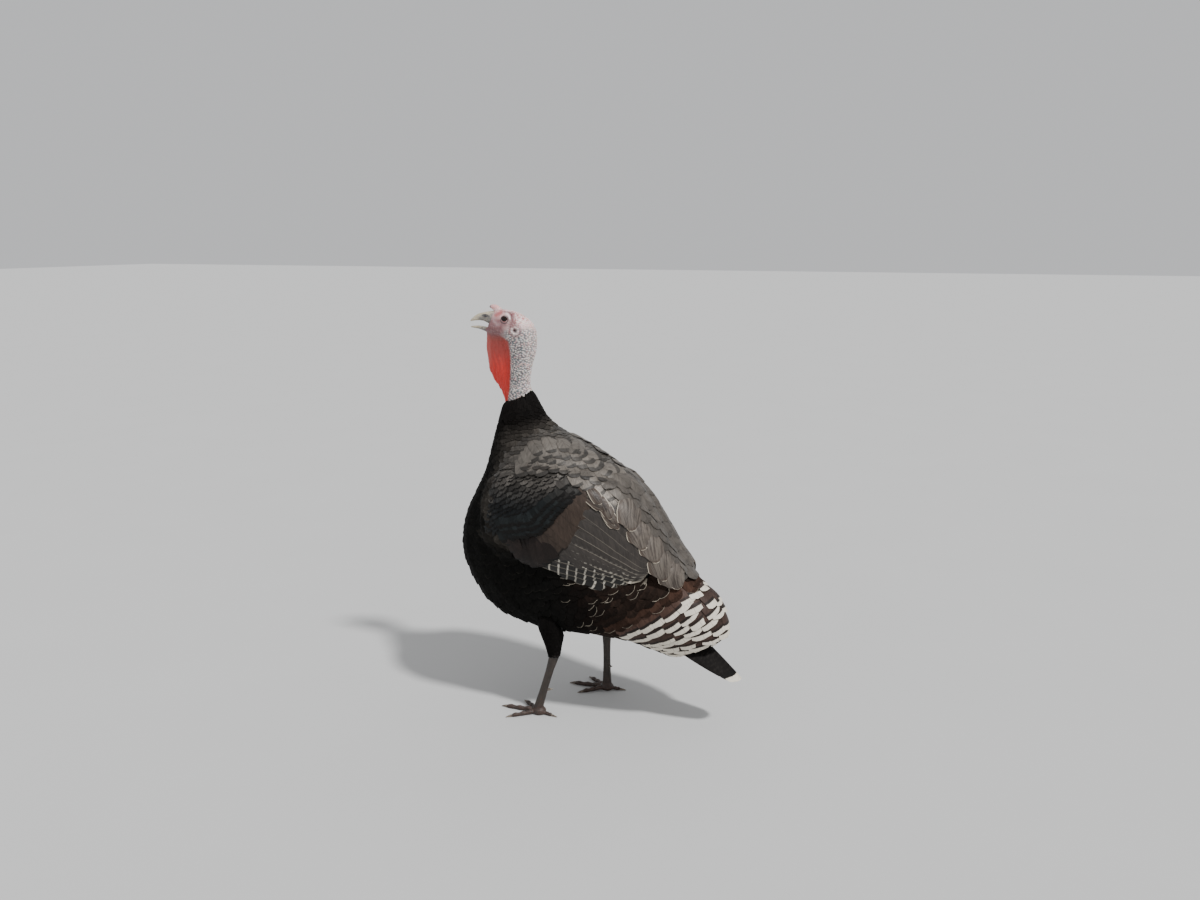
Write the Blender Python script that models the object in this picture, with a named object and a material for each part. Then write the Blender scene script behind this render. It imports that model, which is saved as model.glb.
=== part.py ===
"""A life-size bronze turkey, standing alert with its bill a little open.

Metres, +Z up. The bird faces -Y and its left side is +X. Most shapes are given in the bird's own terms,
forward and up, with the side as the distance from its middle plane. All pieces are moved together at the
end, so that the origin is the middle of the bounding box on the floor.
"""

import math

import bmesh
import bpy
from mathutils import Matrix, Vector
from mathutils.bvhtree import BVHTree

GAP = 0.0003  # clearance between pieces that meet
SWELL = 0.00036  # how far a copy grows before it cuts its neighbour

# Lofted flesh: (back forward, back up, front forward, front up, half width) of each station.
TRUNK = [
    (0.117, 0.744, 0.185, 0.722, 0.032),
    (0.076, 0.678, 0.204, 0.655, 0.060),
    (-0.028, 0.624, 0.230, 0.560, 0.106),
    (-0.112, 0.572, 0.284, 0.450, 0.125),
    (-0.168, 0.500, 0.290, 0.345, 0.131),
    (-0.206, 0.434, 0.218, 0.232, 0.127),
    (-0.236, 0.390, 0.085, 0.192, 0.113),
    (-0.275, 0.346, -0.045, 0.194, 0.100),
    (-0.322, 0.310, -0.120, 0.190, 0.088),
    (-0.348, 0.266, -0.180, 0.174, 0.070),
    (-0.355, 0.222, -0.222, 0.160, 0.046),
]
RUFF_FOOT = [(0.066, 0.671), (0.206, 0.640)]  # a thin cut parts the feathered lower neck here
RUMP_TOP = [(-0.258, 0.372), (-0.062, 0.188)]  # and another parts the tail's coverts here
NECK = [
    (0.118, 0.735, 0.181, 0.722, 0.026),
    (0.127, 0.768, 0.173, 0.762, 0.0215),
    (0.122, 0.806, 0.172, 0.808, 0.0235),
    (0.111, 0.845, 0.178, 0.852, 0.0275),
    (0.109, 0.877, 0.190, 0.872, 0.0300),
]
HEAD = [
    (0.109, 0.877, 0.190, 0.872, 0.0300),
    (0.113, 0.896, 0.207, 0.879, 0.0308),
    (0.128, 0.915, 0.219, 0.884, 0.0300),
    (0.152, 0.930, 0.226, 0.887, 0.0275),
    (0.178, 0.936, 0.226, 0.891, 0.0225),
    (0.198, 0.935, 0.221, 0.896, 0.0165),
    (0.207, 0.928, 0.215, 0.905, 0.0095),
]
WATTLE = [
    (0.190, 0.886, 0.224, 0.884, 0.0080),
    (0.163, 0.864, 0.225, 0.860, 0.0118),
    (0.158, 0.830, 0.224, 0.822, 0.0115),
    (0.158, 0.798, 0.219, 0.787, 0.0105),
    (0.160, 0.768, 0.202, 0.760, 0.0090),
    (0.163, 0.742, 0.190, 0.736, 0.0065),
    (0.168, 0.722, 0.188, 0.716, 0.0045),
]
HEAD_YAW = math.radians(15)  # the head looks a little to its left
NECK_AXIS = 0.145  # how far forward the neck stands
NECK_FOOT, NECK_TOP = 0.74, 0.86  # the neck twists between these heights

# Bill, snood, eye and ear, in the head's own frame before it turns: (forward, up).
CULMEN = [
    (0.198, 0.9340), (0.2135, 0.9325), (0.2290, 0.9300), (0.2440, 0.9260), (0.2550, 0.9180), (0.2610, 0.9115)]
UPPER_EDGE = [
    (0.198, 0.9010), (0.2135, 0.9020), (0.2270, 0.9095), (0.2420, 0.9120), (0.2545, 0.9105), (0.2605, 0.9092)]
LOWER_EDGE = [(0.198, 0.8960), (0.2150, 0.8955), (0.2300, 0.8980), (0.2440, 0.8997), (0.2600, 0.8982)]
CHIN = [(0.198, 0.8800), (0.2150, 0.8825), (0.2300, 0.8888), (0.2440, 0.8930), (0.2595, 0.8955)]
UPPER_WIDTHS = [0.0125, 0.0115, 0.0095, 0.0070, 0.0042, 0.0012]
LOWER_WIDTHS = [0.0120, 0.0105, 0.0085, 0.0062, 0.0016]
GAPE, GAPE_HALVES = (0.2215, 0.8990), (0.040, 0.0105, 0.0036)  # the open mouth's corner: side, forward, up
SNOOD = [(0.195, 0.932, 0.0098), (0.2020, 0.9395, 0.0078), (0.2090, 0.9425, 0.0052), (0.2155, 0.9435, 0.0026)]
EYE, EYE_SIDE, EYE_RADIUS = (0.1780, 0.9155), 0.0192, 0.0088
EAR, EAR_SIDE, EAR_RADIUS = (0.1540, 0.891), 0.0325, 0.0046

# Folded wing, in upright slices seen from the side: (forward, upper edge, lower edge, thickness).
WING = [
    (0.196, 0.530, 0.440, 0.008),
    (0.176, 0.566, 0.412, 0.016),
    (0.120, 0.590, 0.392, 0.022),
    (0.040, 0.594, 0.386, 0.024),
    (-0.045, 0.580, 0.378, 0.024),
    (-0.115, 0.546, 0.370, 0.022),
    (-0.168, 0.484, 0.366, 0.019),
    (-0.214, 0.412, 0.354, 0.016),
    (-0.250, 0.366, 0.340, 0.012),
]
WING_DEPTH = 0.010  # how far a wing reaches into the trunk before the trunk cuts it
COVERT_LIFT, TERTIAL_LIFT = 0.0035, 0.0030  # how far these lie over the flight feathers
COVERT_EDGE = [(0.010, 0.385), (-0.105, 0.600)]  # where the coverts end, seen from the side
TERTIAL_EDGE = [(-0.086, 0.520), (-0.245, 0.366)]  # where the tertials begin, seen from the side

# Tail: a folded fan, like a steep roof. The middle feathers are the longest.
TAIL_ROOT, TAIL_TIP = (-0.200, 0.272), (-0.384, 0.120)
TAIL_FEATHERS = 18
TAIL_ROOT_HALF, TAIL_TIP_HALF = 0.034, 0.056
TAIL_ROOT_DROP, TAIL_TIP_DROP = 0.024, 0.040
TAIL_SHORTER = 0.122  # how much shorter the outermost feather is
TAIL_THICK = 0.0045

# Legs: (forward, up) of each joint, and how far each foot stands from the middle.
FOOT_SIDE = 0.088
LEGS = {"left": (0.0, 1), "right": (-0.106, -1)}  # forward shift of the foot, and its side
HIP, HOCK, ANKLE = (0.050, 0.300), (0.034, 0.152), (0.073, 0.024)
THIGH_RADII = [(0.052, 0.046), (0.047, 0.040), (0.036, 0.030), (0.023, 0.019), (0.0135, 0.0115)]
SHANK_RADII = [(0.0132, 0.0112), (0.0098, 0.0086), (0.0090, 0.0080), (0.0096, 0.0092), (0.0115, 0.0120)]
PAD_RADIUS = 0.0155
# Each toe: (name, angle outwards from straight ahead, length, root radius, tip radius).
TOES = [
    ("middle", -1, 0.078, 0.0062, 0.0048),
    ("inner", -38, 0.056, 0.0056, 0.0046),
    ("outer", 36, 0.060, 0.0056, 0.0046),
    ("hind", 172, 0.027, 0.0048, 0.0040),
]
CLAW_LENGTH, CLAW_TIP = 0.015, 0.0009
SPUR_UP, SPUR_LENGTH = 0.062, 0.013
SPUR_RADII = [0.0036, 0.0031, 0.0023, 0.0010]

COLOURS = {
    "plumage": (0.030, 0.024, 0.020), "quills": (0.10, 0.075, 0.055), "tail_tips": (0.22, 0.17, 0.13),
    "bare_skin": (0.55, 0.30, 0.29), "wattle_skin": (0.62, 0.06, 0.05), "horn": (0.30, 0.26, 0.22),
    "eyes": (0.02, 0.012, 0.008), "scaled_skin": (0.16, 0.10, 0.08), "claws": (0.07, 0.055, 0.045),
}
ROUGHNESS = {"eyes": 0.08, "horn": 0.35, "claws": 0.35}


def at(side, forward, up):
    """The place of a point given in the bird's own terms."""
    return Vector((side, -forward, up))


def finish_of(name, colour):
    """The material of the piece of that name, in one of the named colours."""
    material = bpy.data.materials.new(name)
    material.use_nodes = True
    shader = material.node_tree.nodes["Principled BSDF"]
    shader.inputs["Base Color"].default_value = (*COLOURS[colour], 1)
    shader.inputs["Roughness"].default_value = ROUGHNESS.get(colour, 0.6)
    return material


def new_piece(name, mesh_data, colour):
    """An object of this bmesh, closed, facing outwards and smooth."""
    bmesh.ops.remove_doubles(mesh_data, verts=mesh_data.verts, dist=1e-6)
    bmesh.ops.recalc_face_normals(mesh_data, faces=mesh_data.faces)
    bmesh.ops.triangulate(mesh_data, faces=mesh_data.faces)
    mesh = bpy.data.meshes.new(name)
    mesh_data.to_mesh(mesh)
    mesh_data.free()
    mesh.materials.append(finish_of(name, colour))
    mesh.shade_smooth()
    mesh.set_sharp_from_angle(angle=math.radians(50))
    piece = bpy.data.objects.new(name, mesh)
    bpy.context.scene.collection.objects.link(piece)
    return piece


def smooth_between(stations, count):
    """Catmull-Rom samples through the stations, which are tuples of numbers, with the ends kept."""
    last = len(stations) - 1
    samples = []
    for i in range(count):
        place = i * last / (count - 1)
        k = min(int(place), last - 1)
        t = place - k
        p0, p1 = stations[max(k - 1, 0)], stations[k]
        p2, p3 = stations[k + 1], stations[min(k + 2, last)]
        samples.append(tuple(
            b + 0.5 * ((c - a) * t + (2 * a - 5 * b + 4 * c - d) * t ** 2 + (3 * b - a - 3 * c + d) * t ** 3)
            for a, b, c, d in zip(p0, p1, p2, p3)))
    return samples


def loft(rings):
    """A closed bmesh through rings of equal length, each end drawn to a point at its middle."""
    made = bmesh.new()
    rows = [[made.verts.new(point) for point in ring] for ring in rings]
    sides = len(rows[0])
    for row, after in zip(rows, rows[1:]):
        for j in range(sides):
            k = (j + 1) % sides
            made.faces.new((row[j], row[k], after[k], after[j]))
    for row in (rows[0], rows[-1]):
        middle = made.verts.new(sum((v.co for v in row), Vector()) / sides)
        for j in range(sides):
            made.faces.new((row[j], row[(j + 1) % sides], middle))
    return made


def flesh_ring(station, sides, square=2.3, pear=0.0):
    """A ring whose back and front are the station's two points. Pear above 0 makes its back narrower."""
    back = at(0, station[0], station[1])
    front = at(0, station[2], station[3])
    middle, reach = (back + front) / 2, (back - front) / 2
    ring = []
    for j in range(sides):
        angle = 2 * math.pi * j / sides
        c, s = math.cos(angle), math.sin(angle)
        along = math.copysign(abs(c) ** (2 / square), c)
        across = math.copysign(abs(s) ** (2 / square), s) * (1 - pear * along)
        ring.append(middle + reach * along + Vector((station[4] * across, 0, 0)))
    return ring


def turn_head(point):
    """The point after the neck's twist: none at its foot, all of it at the head."""
    share = min(max((point.z - NECK_FOOT) / (NECK_TOP - NECK_FOOT), 0), 1)
    axis = at(0, NECK_AXIS, 0)
    return Matrix.Rotation(HEAD_YAW * share, 3, "Z") @ (point - axis) + axis


def tube(path, radii, sides=12, across=Vector((1, 0, 0))):
    """A closed bmesh along the path. Radii are (in the path's plane, across it)."""
    rings = []
    for i, point in enumerate(path):
        ahead = path[min(i + 1, len(path) - 1)] - path[max(i - 1, 0)]
        side = across.normalized()
        normal = ahead.cross(side).normalized()
        rings.append([
            point + normal * radii[i][0] * math.cos(2 * math.pi * j / sides)
            + side * radii[i][1] * math.sin(2 * math.pi * j / sides)
            for j in range(sides)])
    return loft(rings)


def ball(centre, radius, stretch=(1, 1, 1), segments=12):
    """A closed bmesh ball, or an ellipsoid where it is stretched."""
    made = bmesh.new()
    place = Matrix.Translation(centre) @ Matrix.Diagonal((*stretch, 1))
    rows = segments * 2 // 3
    bmesh.ops.create_uvsphere(made, u_segments=segments, v_segments=rows, radius=radius, matrix=place)
    return made


def settle(piece):
    """Applies the piece's modifiers, so that later cuts read its final shape."""
    graph = bpy.context.evaluated_depsgraph_get()
    mesh = bpy.data.meshes.new_from_object(piece.evaluated_get(graph))
    piece.modifiers.clear()
    old, piece.data = piece.data, mesh
    bpy.data.meshes.remove(old)
    mesh.name = piece.name
    tidy = bmesh.new()
    tidy.from_mesh(mesh)
    bmesh.ops.dissolve_degenerate(tidy, edges=tidy.edges, dist=2e-6)
    bmesh.ops.dissolve_limit(tidy, angle_limit=math.radians(0.5), verts=tidy.verts, edges=tidy.edges)
    bmesh.ops.triangulate(tidy, faces=tidy.faces)
    tidy.to_mesh(mesh)
    tidy.free()


def swollen(piece, by):
    """A hidden copy of the piece, grown along its normals."""
    copy = piece.copy()
    copy.data = piece.data.copy()
    bpy.context.scene.collection.objects.link(copy)
    grown = bmesh.new()
    grown.from_mesh(copy.data)
    grown.normal_update()
    places = [v.co + v.normal * by * v.calc_shell_factor() for v in grown.verts]
    for v, place in zip(grown.verts, places):
        v.co = place
    grown.to_mesh(copy.data)
    grown.free()
    return copy


def carve(piece, *tools, by=SWELL):
    """Cuts each tool's shape out of the piece, with a gap between them."""
    for tool in tools:
        cutter = swollen(tool, by)
        cut = piece.modifiers.new("cut", "BOOLEAN")
        cut.operation, cut.solver, cut.object = "DIFFERENCE", "EXACT", cutter
        settle(piece)
        bpy.data.objects.remove(cutter)


def keep_side(piece, point, normal):
    """Keeps what lies on the normal's side of a plane, and closes the cut with a flat face."""
    cut = bmesh.new()
    cut.from_mesh(piece.data)
    everything = cut.verts[:] + cut.edges[:] + cut.faces[:]
    made = bmesh.ops.bisect_plane(
        cut, geom=everything, dist=1e-6, plane_co=point, plane_no=normal, clear_inner=True)
    rim = [e for e in made["geom_cut"] if isinstance(e, bmesh.types.BMEdge)]
    bmesh.ops.holes_fill(cut, edges=rim, sides=0)
    bmesh.ops.triangulate(cut, faces=cut.faces)
    bmesh.ops.recalc_face_normals(cut, faces=cut.faces)
    cut.to_mesh(piece.data)
    cut.free()


def copy_of(piece, name):
    """A second object with its own copy of the piece's mesh and material."""
    twin = piece.copy()
    twin.name, twin.data = name, piece.data.copy()
    twin.data.materials[0] = piece.data.materials[0].copy()
    twin.data.materials[0].name = name
    bpy.context.scene.collection.objects.link(twin)
    return twin


def part_at(piece, name, edge):
    """Parts the piece at the plane seen from the side as this edge, and gives its far side as a new piece."""
    start, end = at(0, *edge[0]), at(0, *edge[1])
    onwards = (end - start).cross(Vector((1, 0, 0))).normalized()
    other = copy_of(piece, name)
    keep_side(piece, start - onwards * GAP / 2, -onwards)
    keep_side(other, start + onwards * GAP / 2, onwards)
    return other


def make_trunk():
    """The body, parted by thin cuts from the lower neck and the tail's coverts, and its uncut form."""
    rings = [flesh_ring(s, 20, square=2.12, pear=0.06) for s in smooth_between(TRUNK, 26)]
    body = loft(rings)
    bmesh.ops.recalc_face_normals(body, faces=body.faces)
    form = BVHTree.FromBMesh(body)
    trunk = new_piece("trunk", body, "plumage")
    ruff = part_at(trunk, "neck_ruff", RUFF_FOOT)
    coverts = part_at(trunk, "tail_coverts", RUMP_TOP[::-1])
    return trunk, ruff, coverts, form


def make_neck_and_head(ruff):
    """The bare neck and the head, cut apart, with the ear's hollow."""
    neck_rings = [flesh_ring(s, 18, square=2.1) for s in smooth_between(NECK, 9)]
    neck = new_piece("neck", loft([[turn_head(p) for p in ring] for ring in neck_rings]), "bare_skin")
    carve(neck, ruff)
    head_rings = [flesh_ring(s, 18, square=2.2) for s in smooth_between(HEAD, 10)]
    head = new_piece("head", loft([[turn_head(p) for p in ring] for ring in head_rings]), "bare_skin")
    back, front, beside = (turn_head(p) for p in (
        at(0, HEAD[0][0], HEAD[0][1]), at(0, HEAD[0][2], HEAD[0][3]), at(1, HEAD[0][0], HEAD[0][1])))
    upwards = (beside - back).cross(front - back).normalized()
    if upwards.z < 0:
        upwards.negate()
    keep_side(head, back + upwards * GAP, upwards)
    mouth = new_piece("mouth", ball(turn_head(at(0, *GAPE)), 1.0, GAPE_HALVES, 12), "bare_skin")
    carve(head, mouth, by=0)
    bpy.data.objects.remove(mouth)
    for side in (1, -1):
        ear = ball(turn_head(at(side * EAR_SIDE, *EAR)), EAR_RADIUS, (1, 0.8, 1.1), 8)
        hollow = new_piece("hollow", ear, "bare_skin")
        carve(head, hollow, by=0)
        bpy.data.objects.remove(hollow)
    return neck, head


def make_eyes(head):
    """A ball in each side of the head, in a socket cut to fit it."""
    for name, side in (("eye_left", 1), ("eye_right", -1)):
        eye = new_piece(name, ball(turn_head(at(side * EYE_SIDE, *EYE)), EYE_RADIUS), "eyes")
        carve(head, eye)


def bill_half(name, tops, feet, widths, head):
    """One half of the bill, a loft from base to tip between its upper and lower lines."""
    count = 8
    tops, feet = smooth_between(tops, count), smooth_between(feet, count)
    widths = smooth_between([(w,) for w in widths], count)
    rings = []
    for top, foot, (width,) in zip(tops, feet, widths):
        rings.append([turn_head(p) for p in flesh_ring((*top, *foot, width), 12, square=2.2, pear=0.12)])
    half = new_piece(name, loft(rings), "horn")
    carve(half, head)
    return half


def make_bill(head):
    """Upper and lower bill, open by about a centimetre at the middle."""
    bill_half("bill_upper", CULMEN, UPPER_EDGE, UPPER_WIDTHS, head)
    bill_half("bill_lower", LOWER_EDGE, CHIN, LOWER_WIDTHS, head)


def make_snood(head):
    """The fleshy finger above the bill, standing up and bent forward."""
    samples = smooth_between(SNOOD, 7)
    path = [turn_head(at(0, forward, up)) for forward, up, _ in samples]
    across = turn_head(at(1, NECK_AXIS, 1)) - turn_head(at(0, NECK_AXIS, 1))
    radii = [(r, r * 0.9) for _, _, r in samples]
    snood = new_piece("snood", tube(path, radii, 10, across), "wattle_skin")
    carve(snood, head, bpy.data.objects["bill_upper"])


def make_wattle(head, neck, ruff):
    """The thin sac of skin from the chin to the foot of the throat."""
    rings = [flesh_ring(s, 12, square=2.0, pear=-0.45) for s in smooth_between(WATTLE, 10)]
    wattle = new_piece("wattle", loft([[turn_head(p) for p in ring] for ring in rings]), "wattle_skin")
    lower_bill = bpy.data.objects["bill_lower"]
    carve(wattle, head, neck, ruff, lower_bill)


def wing_slice(station, lift, body):
    """The closed outline of an upright slice of the left wing: its outer face, then its inner one."""
    forward, upper, lower, thickness = station
    outer, inner = [], []
    for i in range(7):
        share = i / 6
        aim = at(0.4, forward, upper + (lower - upper) * share)
        place, normal, _, _ = body.ray_cast(aim, Vector((-1, 0, 0)))
        swell = 0.40 + 0.60 * math.sin(math.pi * share) ** 0.6
        outer.append(place + normal * (lift + thickness * swell))
        if i % 2 == 0:
            inner.append(place - normal * WING_DEPTH)
    return outer + inner[::-1]


def wing_block(name, lift, colour, body):
    """The whole left wing as one loft over the body's side, its outer face raised by lift."""
    rings = [wing_slice(station, lift, body) for station in smooth_between(WING, 11)]
    return new_piece(name, loft(rings), colour)


def plane_through(edge, lean):
    """A point on the plane seen from the side as this edge, and its normal on lean's side."""
    (a, b), (c, d) = edge
    along = at(0, c, d) - at(0, a, b)
    normal = along.cross(Vector((1, 0, 0))).normalized()
    if normal.dot(lean) < 0:
        normal.negate()
    return at(0, a, b), normal


def mirrored(piece, name):
    """The right side's copy of a left piece."""
    twin = copy_of(piece, name)
    flip = bmesh.new()
    flip.from_mesh(twin.data)
    bmesh.ops.scale(flip, vec=(-1, 1, 1), verts=flip.verts)
    bmesh.ops.reverse_faces(flip, faces=flip.faces)
    flip.to_mesh(twin.data)
    flip.free()
    return twin


def make_wings(trunk, ruff, coverts, body):
    """Each wing in three pieces that meet at thin cuts: coverts, flight feathers and tertials."""
    on_edge, forward = plane_through(COVERT_EDGE, at(0, 1, 0))
    on_row, upward = plane_through(TERTIAL_EDGE, at(0, 0, 1))
    behind_edge = (on_edge - forward * GAP / 2, -forward)
    pieces = {
        "wing_coverts": (COVERT_LIFT, "plumage", [(on_edge + forward * GAP / 2, forward)]),
        "wing_flights": (0.0, "quills", [behind_edge, (on_row - upward * GAP / 2, -upward)]),
        "wing_tertials": (TERTIAL_LIFT, "quills", [behind_edge, (on_row + upward * GAP / 2, upward)]),
    }
    made = []
    for name, (lift, colour, planes) in pieces.items():
        left = wing_block(name + "_left", lift, colour, body)
        for point, normal in planes:
            keep_side(left, point, normal)
        made += [left, mirrored(left, name + "_right")]
    for wing in made:
        carve(wing, trunk, ruff, coverts)
    return made


def tail_place(across, along, lift=0.0, reach=1.0):
    """A point of the tail's fan. Across runs from -1 to 1 over its width, along from 0 at its root to 1."""
    root, tip = at(0, *TAIL_ROOT), at(0, *TAIL_TIP)
    axis = tip - root
    outwards = Vector((1, 0, 0)).cross(axis).normalized()
    share = abs(across)
    length = (1 - TAIL_SHORTER / axis.length * share ** 1.6) * along * reach
    half = TAIL_ROOT_HALF + (TAIL_TIP_HALF - TAIL_ROOT_HALF) * along
    drop = (TAIL_ROOT_DROP + (TAIL_TIP_DROP - TAIL_ROOT_DROP) * along) * share ** 1.2
    side = half * math.sin(across * math.pi / 2 * 0.94)
    bow = 0.006 * math.sin(math.pi * along)
    return root + axis * length + outwards * (bow + lift - drop) + Vector((side, 0, 0))


def roof(name, feathers, rows, start, stop, thick, lift, colour):
    """A bent slab over the tail's roof, its end stepped and scalloped once for each feather."""
    per_feather = 2
    columns = feathers * per_feather
    made = bmesh.new()
    tops, feet = [], []
    for i in range(rows + 1):
        along = start + (stop - start) * i / rows
        top, foot = [], []
        for j in range(columns + 1):
            across = 2 * j / columns - 1
            phase = (j % per_feather) / per_feather
            step = 0.0010 * (phase - 0.5) * (1 if across < 0 else -1) * (i > 0)
            reach = 1 - 0.011 * (2 * abs(phase - 0.5)) ** 2.5 * (i == rows)
            top.append(made.verts.new(tail_place(across, along, lift + step + thick[i] / 2, reach)))
            foot.append(made.verts.new(tail_place(across, along, lift - thick[i] / 2, reach)))
        tops.append(top)
        feet.append(foot)
    for i in range(rows):
        for j in range(columns):
            made.faces.new((tops[i][j], tops[i][j + 1], tops[i + 1][j + 1], tops[i + 1][j]))
            made.faces.new((feet[i][j], feet[i + 1][j], feet[i + 1][j + 1], feet[i][j + 1]))
        for j in (0, columns):
            made.faces.new((tops[i][j], tops[i + 1][j], feet[i + 1][j], feet[i][j]))
    for i in (0, rows):
        for j in range(columns):
            made.faces.new((tops[i][j], tops[i][j + 1], feet[i][j + 1], feet[i][j]))
    return new_piece(name, made, colour)


def make_tail(trunk, coverts):
    """The folded fan of the tail, with its root under the coverts."""
    tail = roof("tail", TAIL_FEATHERS, 3, 0.0, 1.0, [TAIL_THICK] * 4, 0.0, "tail_tips")
    carve(tail, trunk, coverts)


def leg_point(joint, shift, side, sideways=FOOT_SIDE):
    """A leg joint's place: the shift acts in full at the foot and by half at the hock."""
    share = {HIP: 0.15, HOCK: 0.62, ANKLE: 1.0}[joint]
    return at(side * sideways, joint[0] + shift * share, joint[1])


def make_toe(name, foot, side, angle, length, root, tip, neighbours):
    """A toe with swollen joints, flat below, and its claw beyond a flat joint."""
    turn = math.radians(angle) * side
    ahead = Vector((math.sin(turn), -math.cos(turn), 0))
    across = Vector((-ahead.y, ahead.x, 0))
    count = 8
    path, radii = [], []
    for i in range(count):
        share = i / (count - 1)
        radius = root + (tip - root) * share + 0.0007 * math.cos(share * 7 * math.pi)
        rise = 0.0030 * (1 - share) ** 2
        path.append(foot + ahead * (0.006 + length * share) + Vector((0, 0, radius * 0.88 + rise)))
        radii.append((radius, radius * 1.02))
    toe = new_piece(name, tube(path, radii, 6, across), "scaled_skin")
    keep_side(toe, Vector((0, 0, 0)), Vector((0, 0, 1)))
    carve(toe, *neighbours)
    end = path[-1]
    keep_side(toe, end - ahead * 0.0004, -ahead)
    claw_path, claw_radii = [], []
    for i in range(4):
        share = i / 3
        fall = (end.z - 0.0015) * share ** 1.6
        claw_path.append(end + ahead * (-0.0001 + CLAW_LENGTH * share) - Vector((0, 0, fall)))
        radius = tip * 0.80 * (1 - share) + CLAW_TIP * share
        claw_radii.append((radius, radius * 0.85))
    claw = new_piece(name.replace("toe", "claw"), tube(claw_path, claw_radii, 5, across), "claws")
    keep_side(claw, end, ahead)
    keep_side(claw, Vector((0, 0, 0)), Vector((0, 0, 1)))
    return toe


def make_leg(name, shift, side, trunk):
    """Feathered thigh, bare shank with its short spur, foot pad, four toes and their claws."""
    hip, hock, ankle = (leg_point(joint, shift, side) for joint in (HIP, HOCK, ANKLE))
    hip.x *= 0.80
    thigh_path = [hip.lerp(hock, i / 6) for i in range(7)]
    thigh = new_piece("thigh_" + name, tube(thigh_path, smooth_between(THIGH_RADII, 7), 12), "plumage")
    carve(thigh, trunk)
    shank_path = [hock.lerp(ankle, -0.08 + 1.18 * i / 7) for i in range(8)]
    shank = new_piece("shank_" + name, tube(shank_path, smooth_between(SHANK_RADII, 8), 9), "scaled_skin")
    foot = Vector((ankle.x, ankle.y, 0))
    pad = new_piece(
        "foot_" + name, ball(foot + Vector((0, 0, 0.0075)), PAD_RADIUS, (1, 1.05, 0.72), 12), "scaled_skin")
    keep_side(pad, Vector((0, 0, 0)), Vector((0, 0, 1)))
    carve(shank, thigh, pad)
    toes = [pad]
    for toe, angle, length, root, tip in TOES:
        toes.append(make_toe(f"toe_{name}_{toe}", foot, side, angle, length, root, tip, toes))
    spur_root = Vector((ankle.x, shank_path[4].y, SPUR_UP))
    backwards = Vector((-side * 0.35, 1, 0.15)).normalized()
    spur_path = [spur_root + backwards * (0.004 + SPUR_LENGTH * i / 3) for i in range(4)]
    spur = new_piece("spur_" + name, tube(spur_path, [(r, r) for r in SPUR_RADII], 6), "claws")
    carve(spur, shank)


def centre_on_floor():
    """Moves every piece so that the middle of the bounding box, at floor level, is the origin."""
    pieces = [o for o in bpy.context.scene.objects if o.type == "MESH"]
    corners = [v.co for o in pieces for v in o.data.vertices]
    middle = Vector(((min(c.x for c in corners) + max(c.x for c in corners)) / 2,
                     (min(c.y for c in corners) + max(c.y for c in corners)) / 2,
                     min(c.z for c in corners)))
    for piece in pieces:
        piece.data.transform(Matrix.Translation(-middle))


def build():
    """All the pieces, from the trunk outwards."""
    for old in list(bpy.data.objects):
        bpy.data.objects.remove(old)
    trunk, ruff, coverts, body = make_trunk()
    neck, head = make_neck_and_head(ruff)
    make_eyes(head)
    make_bill(head)
    make_snood(head)
    make_wattle(head, neck, ruff)
    make_wings(trunk, ruff, coverts, body)
    make_tail(trunk, coverts)
    for name, (shift, side) in LEGS.items():
        make_leg(name, shift, side, trunk)
    centre_on_floor()


build()
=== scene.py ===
# Bronze turkey standing alert: skin, feathers, bill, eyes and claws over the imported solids
import math

import bmesh
import bpy
import numpy as np
from mathutils import Matrix, Vector
from mathutils.bvhtree import BVHTree
from mathutils.kdtree import KDTree


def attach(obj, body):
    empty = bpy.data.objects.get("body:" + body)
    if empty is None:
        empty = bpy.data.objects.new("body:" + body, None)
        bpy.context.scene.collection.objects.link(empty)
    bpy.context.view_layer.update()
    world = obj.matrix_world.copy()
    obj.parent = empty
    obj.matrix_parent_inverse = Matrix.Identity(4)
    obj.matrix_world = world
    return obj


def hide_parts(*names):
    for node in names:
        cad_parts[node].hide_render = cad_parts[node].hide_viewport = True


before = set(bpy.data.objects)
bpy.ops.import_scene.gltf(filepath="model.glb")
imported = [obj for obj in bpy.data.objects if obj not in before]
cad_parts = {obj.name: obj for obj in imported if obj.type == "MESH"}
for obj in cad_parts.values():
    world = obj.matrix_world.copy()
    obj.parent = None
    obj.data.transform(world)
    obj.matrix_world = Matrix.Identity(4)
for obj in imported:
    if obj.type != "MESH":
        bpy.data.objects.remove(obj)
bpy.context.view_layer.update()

chance = np.random.default_rng(7)
sides = {"left": 1, "right": -1}
trunkNodes = ["trunk", "neck_ruff", "tail_coverts"]
thighNodes = [f"thigh_{side}" for side in sides]
wingNodes = [f"wing_{part}_{side}" for part in ("coverts", "flights", "tertials") for side in sides]
headNodes = ["neck", "head", "snood", "wattle"]
legNodes = [f"{part}_{side}" for part in ("shank", "foot") for side in sides]
legNodes += [f"toe_{side}_{toe}" for side in sides for toe in ("middle", "inner", "outer", "hind")]


def at(side, forward, up):  # the bird faces -Y, its left is +X
    return Vector((side, -forward, up))


def smoothStep(low, high, value):
    share = np.clip((value - low) / (high - low), 0, 1)
    return share * share * (3 - 2 * share)


def unit(vectors):
    return vectors / np.maximum(np.linalg.norm(vectors, axis=-1, keepdims=True), 1e-9)


def between(first, last, share):
    return np.array(first) * (1 - share) + np.array(last) * share


def runAlong(points):  # distance along a line at each of its points
    return np.concatenate([[0], np.cumsum(np.linalg.norm(np.diff(points, axis=0), axis=1))])


def hill(away, width):
    return np.exp(-(away / width) ** 2)


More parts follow.
